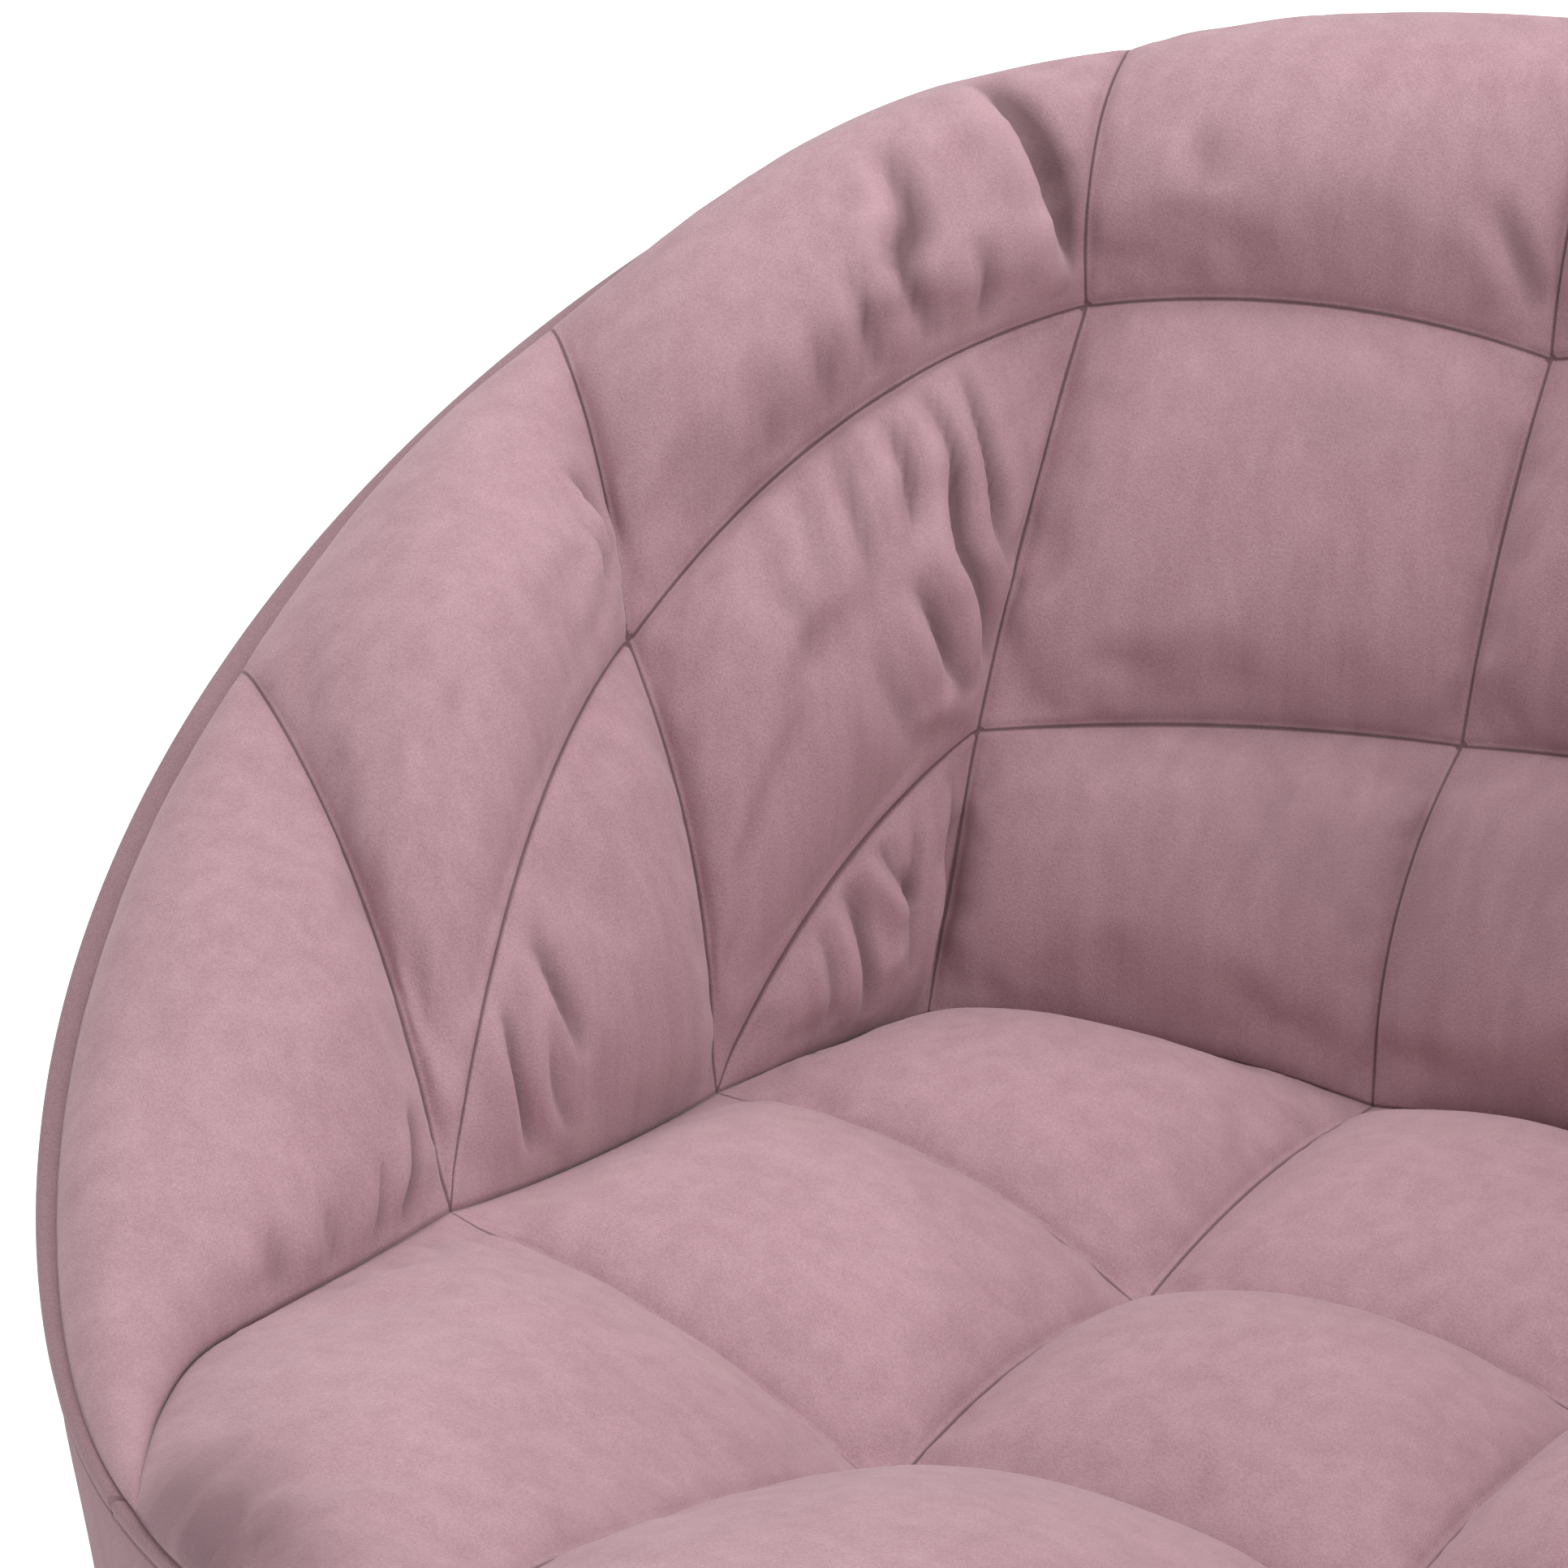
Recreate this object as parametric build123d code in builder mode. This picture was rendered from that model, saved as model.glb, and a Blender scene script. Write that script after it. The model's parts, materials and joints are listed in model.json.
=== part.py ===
"""Glider nursery chair: a padded barrel seat on a parallel-link glider and a ring swivel base.

Millimetres, +Z up, origin on the floor under the middle of the chair, which faces -Y.
"""

import os
from math import cos, radians, sin, sqrt, tan

from build123d import *

os.makedirs("parts", exist_ok=True)

# ---------------------------------------------------------------- driving dimensions
# Barrel: round in plan, its side bowed in a large upright arc.
barrel_radius = 440
waist_height = 720
bow_radius = 2500
foot_height = 55

# Rim line, seen from the side: level at the front, a straight slope, then an easing arc.
rim_front_height = 435
rim_slope = 0.52
rim_start = -303
rim_start_round = 200
rim_ease_start = 200
rim_ease = 0.00085
rim_end = 470

# Layers of the barrel's wall, as insets from its outside.
cover_thickness = 4
wall_gap = 0.3
shell_inner = 10
frame_depth = 22
board = 18
band_height = 12
band_proud = 1.5
rail_top_drop = 14
rail_height = 24

# Seat and upholstery.
seat_half_width = 272
seat_back = 232
seat_corner = 100
seat_side_end = -230
seat_front_corner = (228, -366)
seat_front_bow = (262, -300)
seat_front = -441
seat_low = 309
seat_top = 424
seat_rake = 0.085
pad_low = 386
lumbar_height = 520
lower_lean = 14
upper_lean = 28
pad_proud = 8
thinnest_padding = 58
pad_split = 262
arm_front = -300
band_split = -352
soft_gap = 0.3

# Seat deck and suspension.
deck_bottom = 276
deck_hole = (460, 440)
deck_hole_corner = 60
bottom_hole_radius = 300
dust_hole_radius = 262
rib_depth = 150
rib_inset = 45
dust_cloth = 1.4
wire_radius = 1.9
spring_clip = (24, 16, 1.4)
spring_pitch = 40
spring_half_width = 20
spring_waves = 6
spring_spacing = 85
felt_thickness = 5

# Glider: two upper pivots and two lower pivots on each side.
pivot_reach = 100
upper_pivot = 225
lower_pivot = 95
pivot_radius = 6
pivot_clearance = 0.05
pin_head_radius = 9
link_radius = 12.5
plate = 5
bracket_inside = 148
link_inside = 156
hanger_inside = 167
side_play = 0.3
beam_reach = 130
beam_width = 40
beam_height = 26
beam_wall = 3
beam_length = 580
bolt_reach = 190
lug_radius = 14
pin_head = 4
bracket_holes = [(-48, 190), (0, 190), (48, 190), (-45, 130), (0, 130), (45, 130)]
bracket_hole_radius = 17
hanger_holes = [(-60, 195), (0, 185), (60, 195), (-55, 130), (0, 120), (55, 130)]
hanger_hole_radius = 20

# Swivel and base.
ring_radius = 275
tube_radius = 12.5
ring_height = 20.5
arm_width = 30
arm_height = 20
arm_wall = 2.5
arm_start = 20
arm_overrun = 8
ring_wall = 2
ring_clearance = 0.1
floor_pad_height = 14
floor_pad_length = 54
floor_pad_width = 36
base_plate_size = 200
base_plate_thickness = 4
plate_corner = 12
bearing_plate = 3
ball_radius = 4
ball_play = 0.05
ball_circle = 55
ball_count = 24
swivel_radius = 10
swivel_clearance = 0.2
swivel_head_radius = 18
swivel_head = 7
nut_radius = 17.3
nut_height = 14
rib_count = 6

# Heights that follow from those above.
arm_bottom = ring_height + 9.5
base_plate_bottom = arm_bottom + arm_height
bearing_bottom = base_plate_bottom + base_plate_thickness
race_bottom = bearing_bottom + bearing_plate
race_top = race_bottom + 2 * ball_radius
turntable_top = race_top + bearing_plate
beam_bottom = deck_bottom - beam_height
deck_top = deck_bottom + board
frame_inner = shell_inner + wall_gap + frame_depth
frame_clearance = frame_inner + 2 * wall_gap


# ---------------------------------------------------------------- shared shapes
def side_radius(height):
    """Outside radius of the barrel at a height."""
    return barrel_radius - bow_radius + sqrt(bow_radius**2 - (height - waist_height) ** 2)


def side_arc(inset, low, high):
    """The barrel's side between two heights, moved inwards."""
    middle = (low + high) / 2
    return ThreePointArc(*[(side_radius(z) - inset, z) for z in (low, middle, high)])


def barrel_wall(outer_inset, inner_inset, low, high):
    """A round wall between two insets of the barrel's side."""
    with BuildPart() as wall:
        with BuildSketch(Plane.XZ):
            with BuildLine():
                outer = side_arc(outer_inset, low, high)
                inner = side_arc(inner_inset, low, high)
                Line(outer @ 0, inner @ 0)
                Line(outer @ 1, inner @ 1)
            make_face()
        revolve(axis=Axis.Z)
    return wall.part


def barrel_core(inset, low, high):
    """Everything inside an inset of the barrel's side."""
    with BuildPart() as core:
        with BuildSketch(Plane.XZ):
            with BuildLine():
                outer = side_arc(inset, low, high)
                Polyline(outer @ 0, (0, low), (0, high), outer @ 1)
            make_face()
        revolve(axis=Axis.Z)
    return core.part


def rim_height(y):
    """Height of the rim over the straight and eased part of its line."""
    eased = max(0, y - rim_ease_start)
    return rim_front_height + rim_slope * (y - rim_start) - rim_ease * eased**2


def below_rim(drop):
    """Everything under the rim line, lowered by drop."""
    ease_point = (rim_ease_start, rim_height(rim_ease_start) - drop)
    end_point = (rim_end, rim_height(rim_end) - drop)
    front_point = (-rim_end, rim_front_height - drop)
    with BuildPart() as under:
        with BuildSketch(Plane.YZ):
            with BuildLine():
                FilletPolyline(
                    front_point,
                    (rim_start, rim_front_height - drop),
                    ease_point,
                    radius=rim_start_round,
                )
                TangentArc(ease_point, end_point, tangent=(1, rim_slope))
                Polyline(end_point, (rim_end, 0), (-rim_end, 0), front_point)
            make_face()
        extrude(amount=barrel_radius + board, both=True)
    return under.part


def rim_ring(outer_inset, inner_inset, top_drop, bottom_drop):
    """A ring that follows the rim line, between two drops below it."""
    wall = barrel_wall(outer_inset, inner_inset, deck_top, rim_height(rim_end))
    upper = below_rim(top_drop)
    lower = below_rim(bottom_drop)
    with BuildPart() as ring:
        add(wall)
        add(upper, mode=Mode.INTERSECT)
        add(lower, mode=Mode.SUBTRACT)
    return ring.part


def seat_side():
    """Right-hand edge of the seat's plan, from the middle of the back to the front corner."""
    Line((0, seat_back), (seat_half_width - seat_corner, seat_back))
    RadiusArc(
        (seat_half_width - seat_corner, seat_back),
        (seat_half_width, seat_back - seat_corner),
        seat_corner,
    )
    Line((seat_half_width, seat_back - seat_corner), (seat_half_width, seat_side_end))
    ThreePointArc((seat_half_width, seat_side_end), seat_front_bow, seat_front_corner)


def seat_plan():
    """The seat's plan, with a bowed front edge."""
    with BuildSketch() as plan:
        with BuildLine():
            seat_side()
            mirror(about=Plane.YZ)
            x, y = seat_front_corner
            ThreePointArc((x, y), (0, seat_front), (-x, y))
        make_face()
    return plan.sketch


def open_plan():
    """The seat's plan, left open towards the front for the space between the arms."""
    mouth = (140, -560)
    with BuildSketch() as plan:
        with BuildLine():
            seat_side()
            Line(seat_front_corner, mouth)
            mirror(about=Plane.YZ)
            Line(mouth, (-mouth[0], mouth[1]))
        make_face()
    return plan.sketch


def sitting_hollow():
    """The flared space between the arms and the back."""
    plan = open_plan()
    lower_rise = lumbar_height - pad_low
    upper_rise = rim_height(rim_end) - lumbar_height
    limit = barrel_core(thinnest_padding, pad_low - board, rim_height(rim_end))
    with BuildPart() as hollow:
        with BuildSketch(Plane.XY.offset(pad_low - board)):
            add(plan)
        extrude(amount=board)
        with BuildSketch(Plane.XY.offset(pad_low)):
            add(plan)
        extrude(amount=lower_rise, taper=-lower_lean)
        with BuildSketch(Plane.XY.offset(lumbar_height)):
            add(plan)
            offset(amount=lower_rise * tan(radians(lower_lean)), kind=Kind.INTERSECTION)
        extrude(amount=upper_rise, taper=-upper_lean)
        add(limit, mode=Mode.INTERSECT)
        with BuildSketch(Plane.XY.offset(pad_low - board)):
            add(plan)
        extrude(amount=board + lower_rise + upper_rise)
    return hollow.part


def save(piece, name):
    """Name a finished piece and write it."""
    piece.label = name
    export_step(piece, f"parts/{name}.step")


def plan_point(radius, degrees):
    """A point round the middle of the chair."""
    return (radius * cos(radians(degrees)), radius * sin(radians(degrees)))


# ---------------------------------------------------------------- base: ring, arms, plate, bearing
with BuildPart() as base_ring:
    with BuildSketch(Plane.XZ):
        with Locations((ring_radius, ring_height)):
            Circle(tube_radius)
            Circle(tube_radius - ring_wall, mode=Mode.SUBTRACT)
    revolve(axis=Axis.Z)
save(base_ring.part, "base_ring")

with BuildPart() as ring_space:
    with BuildSketch(Plane.XZ):
        with Locations((ring_radius, ring_height)):
            Circle(tube_radius + ring_clearance)
    revolve(axis=Axis.Z)

quarter_turns = [0, 90, 180, 270]


def floor_pad(degrees):
    """Nylon glide that clips round the underside of the base ring."""
    x, y = plan_point(ring_radius, degrees)
    with BuildPart() as pad:
        with BuildSketch(Plane(origin=(x, y, 0), x_dir=(x, y, 0))):
            SlotOverall(floor_pad_length, floor_pad_width, rotation=90)
        extrude(amount=floor_pad_height)
        chamfer(pad.faces().sort_by(Axis.Z)[0].edges(), length=2)
        add(ring_space.part, mode=Mode.SUBTRACT)
    return pad.part


for number, degrees in enumerate(quarter_turns, start=1):
    save(floor_pad(degrees), f"floor_pad_{number}")


def base_arm(degrees):
    """Rectangular tube from the swivel plate out to the ring, notched to sit on it."""
    direction = (cos(radians(degrees)), sin(radians(degrees)), 0)
    start = (*plan_point(arm_start, degrees), base_plate_bottom - arm_height / 2)
    with BuildPart() as arm:
        with BuildSketch(Plane(origin=start, x_dir=(-direction[1], direction[0], 0), z_dir=direction)):
            Rectangle(arm_width, arm_height)
            Rectangle(arm_width - 2 * arm_wall, arm_height - 2 * arm_wall, mode=Mode.SUBTRACT)
        extrude(amount=ring_radius + arm_overrun - arm_start)
        add(ring_space.part, mode=Mode.SUBTRACT)
    return arm.part


for number, degrees in enumerate(quarter_turns, start=1):
    save(base_arm(degrees), f"base_arm_{number}")

with BuildPart() as base_plate:
    with BuildSketch(Plane.XY.offset(base_plate_bottom)):
        RectangleRounded(base_plate_size, base_plate_size, plate_corner)
        Circle(swivel_radius + swivel_clearance, mode=Mode.SUBTRACT)
    extrude(amount=base_plate_thickness)
save(base_plate.part, "base_plate")

bearing_size = base_plate_size - 30
with BuildPart() as bearing_lower_plate:
    with BuildSketch(Plane.XY.offset(bearing_bottom)):
        RectangleRounded(bearing_size, bearing_size, plate_corner)
        Circle(swivel_radius + swivel_clearance, mode=Mode.SUBTRACT)
    extrude(amount=bearing_plate)
save(bearing_lower_plate.part, "bearing_lower_plate")

swivel_foot = base_plate_bottom - 16
with BuildPart() as swivel_pin:
    with BuildSketch(Plane.XY.offset(swivel_foot)):
        Circle(swivel_radius)
    extrude(amount=turntable_top + side_play - swivel_foot)
    with BuildSketch(Plane.XY.offset(turntable_top + side_play)):
        Circle(swivel_head_radius)
    extrude(amount=swivel_head)
    chamfer(swivel_pin.faces().sort_by(Axis.Z)[-1].edges(), length=1.5)
save(swivel_pin.part, "swivel_pin")

with BuildPart() as swivel_nut:
    with BuildSketch(Plane.XY.offset(swivel_foot + 2)):
        RegularPolygon(nut_radius, 6)
        Circle(swivel_radius, mode=Mode.SUBTRACT)
    extrude(amount=nut_height)
save(swivel_nut.part, "swivel_nut")

# ---------------------------------------------------------------- ball bearing
ball_height = race_bottom + ball_radius
with BuildPart() as ball_cage:
    with BuildSketch(Plane.XY.offset(ball_height - 1)):
        Circle(ball_circle + 8)
        Circle(ball_circle - 8, mode=Mode.SUBTRACT)
        with PolarLocations(ball_circle, ball_count):
            Circle(ball_radius + ball_play, mode=Mode.SUBTRACT)
    extrude(amount=2)
save(ball_cage.part, "ball_cage")

with BuildPart() as bearing_balls:
    with Locations((0, 0, ball_height)):
        with PolarLocations(ball_circle, ball_count):
            Sphere(ball_radius - ball_play)
save(bearing_balls.part, "bearing_balls")

# ---------------------------------------------------------------- turntable
with BuildPart() as bearing_upper_plate:
    with BuildSketch(Plane.XY.offset(race_top)):
        RectangleRounded(base_plate_size, base_plate_size, plate_corner)
        Circle(swivel_radius + pivot_clearance, mode=Mode.SUBTRACT)
    extrude(amount=bearing_plate)
save(bearing_upper_plate.part, "bearing_upper_plate")

channel_width = 40
channel_height = 25
channel_reach = 70
channel_wall = 3


def cross_channel(y):
    """Upturned steel channel that ties the two glider brackets together."""
    with BuildPart() as channel:
        start = Plane(origin=(-bracket_inside, y, turntable_top), x_dir=(0, 1, 0), z_dir=(1, 0, 0))
        with BuildSketch(start):
            with Locations((0, channel_height / 2)):
                Rectangle(channel_width, channel_height)
                with Locations((0, channel_wall)):
                    Rectangle(channel_width - 2 * channel_wall, channel_height, mode=Mode.SUBTRACT)
        extrude(amount=2 * bracket_inside)
    return channel.part


save(cross_channel(-channel_reach), "cross_channel_front")
save(cross_channel(channel_reach), "cross_channel_rear")

bracket_foot = turntable_top + lug_radius
bracket_foot_reach = 78


def glide_bracket(side):
    """Upright side plate that carries the two upper pivots."""
    face = bracket_inside if side > 0 else -bracket_inside - plate
    with BuildPart() as bracket:
        with BuildSketch(Plane.YZ.offset(face)):
            with Locations((pivot_reach, upper_pivot), (-pivot_reach, upper_pivot)):
                Circle(lug_radius)
            with Locations((bracket_foot_reach, bracket_foot), (-bracket_foot_reach, bracket_foot)):
                Circle(lug_radius)
            make_hull()
            with Locations((pivot_reach, upper_pivot), (-pivot_reach, upper_pivot)):
                Circle(pivot_radius, mode=Mode.SUBTRACT)
            with Locations(*bracket_holes):
                Circle(bracket_hole_radius, mode=Mode.SUBTRACT)
        extrude(amount=plate)
    return bracket.part


save(glide_bracket(-1), "glide_bracket_left")
save(glide_bracket(1), "glide_bracket_right")


def stepped_pin(side, y, height, steps):
    """Turned pin along X, from (distance out, radius) steps; each step starts where the last ended."""
    with BuildPart() as pin:
        for (start, radius), (end, _) in zip(steps, steps[1:]):
            with BuildSketch(Plane(origin=(side * start, y, height), x_dir=(0, 1, 0), z_dir=(side, 0, 0))):
                Circle(radius)
            extrude(amount=end - start)
    return pin.part


corners = [
    ("front_left", -1, -pivot_reach),
    ("front_right", 1, -pivot_reach),
    ("rear_left", -1, pivot_reach),
    ("rear_right", 1, pivot_reach),
]
upper_pin_steps = [
    (bracket_inside - pin_head, pin_head_radius),
    (bracket_inside, pivot_radius),
    (bracket_inside + plate, pin_head_radius),
    (link_inside - side_play, pivot_radius),
    (link_inside + plate + side_play, pin_head_radius),
    (link_inside + plate + pin_head, None),
]
for name, side, y in corners:
    save(stepped_pin(side, y, upper_pivot, upper_pin_steps), f"upper_pin_{name}")


# ---------------------------------------------------------------- links
def link(side, y):
    """Flat link between an upper and a lower pivot."""
    face = link_inside if side > 0 else -link_inside - plate
    with BuildPart() as bar:
        with BuildSketch(Plane.YZ.offset(face)):
            with Locations((y, upper_pivot), (y, lower_pivot)):
                Circle(link_radius)
            make_hull()
            with Locations((y, upper_pivot), (y, lower_pivot)):
                Circle(pivot_radius + pivot_clearance, mode=Mode.SUBTRACT)
        extrude(amount=plate)
    return bar.part


for name, side, y in corners:
    save(link(side, y), f"link_{name}")

# ---------------------------------------------------------------- seat frame: hangers, beams, deck
flange_width = 40
flange = 4
flange_corner = 6
hanger_top = beam_bottom - flange
hanger_lug = (beam_reach + 6, hanger_top - lug_radius + 1)
bolt_points = [(x, y) for x in (-bolt_reach, bolt_reach) for y in (-beam_reach, beam_reach)]
bolt_radius = 4
bolt_head = 5
bolt_head_radius = 7.5
bolt_hole = 4.3


def hanger_bracket(side):
    """Side plate under the seat frame that carries the two lower pivots."""
    face = hanger_inside if side > 0 else -hanger_inside - plate
    with BuildPart() as hanger:
        with BuildSketch(Plane.YZ.offset(face)):
            with Locations((pivot_reach, lower_pivot), (-pivot_reach, lower_pivot)):
                Circle(lug_radius)
            with Locations(hanger_lug, (-hanger_lug[0], hanger_lug[1])):
                Circle(lug_radius)
            make_hull()
            with Locations((pivot_reach, lower_pivot), (-pivot_reach, lower_pivot)):
                Circle(pivot_radius, mode=Mode.SUBTRACT)
            with Locations(*hanger_holes):
                Circle(hanger_hole_radius, mode=Mode.SUBTRACT)
        extrude(amount=plate)
        middle = side * (hanger_inside + flange_width / 2)
        with BuildSketch(Plane.XY.offset(hanger_top)):
            with Locations((middle, 0)):
                RectangleRounded(flange_width, 2 * beam_reach + beam_width, flange_corner)
            with Locations(*bolt_points):
                Circle(bolt_hole, mode=Mode.SUBTRACT)
        extrude(amount=flange)
    return hanger.part


save(hanger_bracket(-1), "hanger_bracket_left")
save(hanger_bracket(1), "hanger_bracket_right")

lower_pin_steps = [
    (bracket_inside + plate + 2 * side_play, pin_head_radius - 1),
    (link_inside - side_play, pivot_radius),
    (link_inside + plate + side_play, pin_head_radius),
    (hanger_inside, pivot_radius),
    (hanger_inside + plate, pin_head_radius),
    (hanger_inside + plate + pin_head, None),
]
for name, side, y in corners:
    save(stepped_pin(side, y, lower_pivot, lower_pin_steps), f"lower_pin_{name}")


def crossbeam(y):
    """Rectangular tube across the chair, bolted between the hangers and the deck."""
    with BuildPart() as beam:
        section = Plane(origin=(-beam_length / 2, y, beam_bottom), x_dir=(0, 1, 0), z_dir=(1, 0, 0))
        with BuildSketch(section):
            with Locations((0, beam_height / 2)):
                Rectangle(beam_width, beam_height)
                Rectangle(beam_width - 2 * beam_wall, beam_height - 2 * beam_wall, mode=Mode.SUBTRACT)
        extrude(amount=beam_length)
        with BuildSketch(Plane.XY.offset(beam_bottom)):
            with Locations(*bolt_points):
                Circle(bolt_hole)
        extrude(amount=beam_height, mode=Mode.SUBTRACT)
    return beam.part


save(crossbeam(-beam_reach), "crossbeam_front")
save(crossbeam(beam_reach), "crossbeam_rear")

with BuildPart() as deck_ring:
    with BuildSketch(Plane.XY.offset(deck_bottom)):
        Circle(side_radius(deck_bottom) - frame_inner - wall_gap)
        RectangleRounded(*deck_hole, deck_hole_corner, mode=Mode.SUBTRACT)
        with Locations(*bolt_points):
            Circle(bolt_hole, mode=Mode.SUBTRACT)
    extrude(amount=board)
save(deck_ring.part, "deck_ring")

with BuildPart() as frame_bolts:
    with BuildSketch(Plane.XY.offset(hanger_top - bolt_head)):
        with Locations(*bolt_points):
            RegularPolygon(bolt_head_radius, 6)
    extrude(amount=bolt_head)
    with BuildSketch(Plane.XY.offset(hanger_top)):
        with Locations(*bolt_points):
            Circle(bolt_radius)
    extrude(amount=deck_top - 3 - hanger_top)
save(frame_bolts.part, "frame_bolts")

spring_height = deck_top + spring_clip[2] + wire_radius + 0.1
spring_half_length = spring_pitch * spring_waves
spring_columns = [spring_spacing * column for column in (-2, -1, 0, 1, 2)]


def seat_spring(x):
    """Zigzag wire spring that spans the hole in the deck."""
    points = []
    for step in range(2 * spring_waves + 1):
        y = -spring_half_length + step * spring_pitch
        reach = spring_half_width if step % 2 == 0 else -spring_half_width
        points += [(x - reach, y), (x + reach, y)]
    with BuildPart() as spring:
        with BuildLine(Plane.XY.offset(spring_height)) as wire:
            FilletPolyline(*points, radius=spring_half_width - 3)
        with BuildSketch(Plane(origin=wire.line @ 0, z_dir=wire.line % 0)):
            Circle(wire_radius)
        sweep(path=wire.line)
    return spring.part


springs = [seat_spring(x) for x in spring_columns]
clip_height = deck_top + spring_clip[2] / 2
clip_ends = (-spring_half_length, spring_half_length)
clip_points = [(x, y, clip_height) for x in spring_columns for y in clip_ends]
with BuildPart() as seat_springs:
    for spring in springs:
        add(spring)
    with Locations(*clip_points):
        Box(*spring_clip)
save(seat_springs.part, "seat_springs")

with BuildPart() as insulator_pad:
    with BuildSketch(Plane.XY.offset(seat_low - felt_thickness - 0.2)):
        RectangleRounded(deck_hole[0] + 40, deck_hole[1] + 60, deck_hole_corner)
    extrude(amount=felt_thickness)
save(insulator_pad.part, "insulator_pad")

# ---------------------------------------------------------------- barrel frame and covers
bottom_ring_low = foot_height + 2
bottom_ring_high = bottom_ring_low + board
with BuildPart() as bottom_ring:
    with BuildSketch(Plane.XY.offset(bottom_ring_low)):
        Circle(side_radius(bottom_ring_low) - shell_inner - wall_gap)
        Circle(bottom_hole_radius, mode=Mode.SUBTRACT)
    extrude(amount=board)
save(bottom_ring.part, "bottom_ring")

with BuildPart() as dust_cover:
    with BuildSketch(Plane.XY.offset(bottom_ring_low - dust_cloth)):
        Circle(side_radius(foot_height) - shell_inner - wall_gap)
        Circle(dust_hole_radius, mode=Mode.SUBTRACT)
    extrude(amount=dust_cloth)
save(dust_cover.part, "dust_cover")

rail_bottom_drop = rail_top_drop + rail_height
rail = rim_ring(shell_inner + wall_gap, frame_inner, rail_top_drop, rail_bottom_drop)
save(rail, "top_rail")

rib_wall = barrel_wall(shell_inner + wall_gap, frame_inner, bottom_ring_high, rim_height(rim_end))
rib_top = below_rim(rail_bottom_drop)


def rib(degrees):
    """Upright plywood rib between the bottom ring and the top rail."""
    x, y = plan_point(barrel_radius - rib_inset, degrees)
    with BuildPart() as upright:
        with BuildSketch(Plane(origin=(x, y, bottom_ring_high), x_dir=(x, y, 0))):
            Rectangle(rib_depth, board)
        extrude(amount=rim_height(rim_end))
        add(rib_wall, mode=Mode.INTERSECT)
        add(rib_top, mode=Mode.INTERSECT)
    return upright.part


for number in range(rib_count):
    save(rib(360 / rib_count * (number + 0.5)), f"rib_{number + 1}")

shell_wall = barrel_wall(cover_thickness + wall_gap, shell_inner, bottom_ring_low, rim_height(rim_end))
shell_top = below_rim(rail_top_drop)


def shell_panel(degrees):
    """A quarter of the plywood barrel, centred on an angle."""
    with BuildPart() as panel:
        add(shell_wall)
        add(shell_top, mode=Mode.INTERSECT)
        for turn, keep in ((-45, Keep.TOP), (45, Keep.BOTTOM)):
            normal = (-sin(radians(degrees + turn)), cos(radians(degrees + turn)), 0)
            edge = plan_point(0.5, degrees)
            split(bisect_by=Plane(origin=(*edge, 0), z_dir=normal), keep=keep)
    return panel.part


for name, degrees in (("right", 0), ("back", 90), ("left", 180), ("front", 270)):
    save(shell_panel(degrees), f"shell_panel_{name}")

cover_wall = barrel_wall(0, cover_thickness, foot_height, rim_height(rim_end))
cover_top = below_rim(band_height)
with BuildPart() as outer_cover:
    add(cover_wall)
    add(cover_top, mode=Mode.INTERSECT)
save(outer_cover.part, "outer_cover")

band = rim_ring(-band_proud, shell_inner, 0, band_height)
band_plane = Plane(origin=(0, band_split, 0), z_dir=(0, 1, 0))
with BuildPart() as edge_band:
    add(band)
    split(bisect_by=band_plane, keep=Keep.TOP)
save(edge_band.part, "edge_band")

with BuildPart() as front_band:
    add(band)
    split(bisect_by=band_plane, keep=Keep.BOTTOM)
save(front_band.part, "front_band")

# ---------------------------------------------------------------- upholstery
pad_core = barrel_core(shell_inner + soft_gap, pad_low, rim_height(rim_end))
pad_top = below_rim(-pad_proud)
frame_wall = barrel_wall(cover_thickness, frame_clearance, deck_top, rim_height(rim_end))
frame_top = below_rim(rail_top_drop - soft_gap)
hollow = sitting_hollow()
with BuildPart() as frame_space:
    add(frame_wall)
    add(frame_top, mode=Mode.INTERSECT)
with BuildPart() as all_padding:
    add(pad_core)
    add(pad_top, mode=Mode.INTERSECT)
    add(frame_space.part, mode=Mode.SUBTRACT)
    add(hollow, mode=Mode.SUBTRACT)


def arm_pad(side):
    """Padding of one arm, from its front end to the seam where the back begins."""
    with BuildPart() as pad:
        add(all_padding.part)
        low = Plane(origin=(side * (pad_split + soft_gap / 2), 0, 0), z_dir=(side, 0, 0))
        split(bisect_by=low, keep=Keep.TOP)
        split(bisect_by=Plane(origin=(0, arm_front, 0), z_dir=(0, 1, 0)), keep=Keep.TOP)
    return pad.part


save(arm_pad(-1), "arm_pad_left")
save(arm_pad(1), "arm_pad_right")

with BuildPart() as back_pad:
    add(all_padding.part)
    for side in (-1, 1):
        inner = Plane(origin=(side * (pad_split - soft_gap / 2), 0, 0), z_dir=(side, 0, 0))
        split(bisect_by=inner, keep=Keep.BOTTOM)
    split(bisect_by=Plane.XZ, keep=Keep.BOTTOM)
save(back_pad.part, "back_pad")

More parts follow.
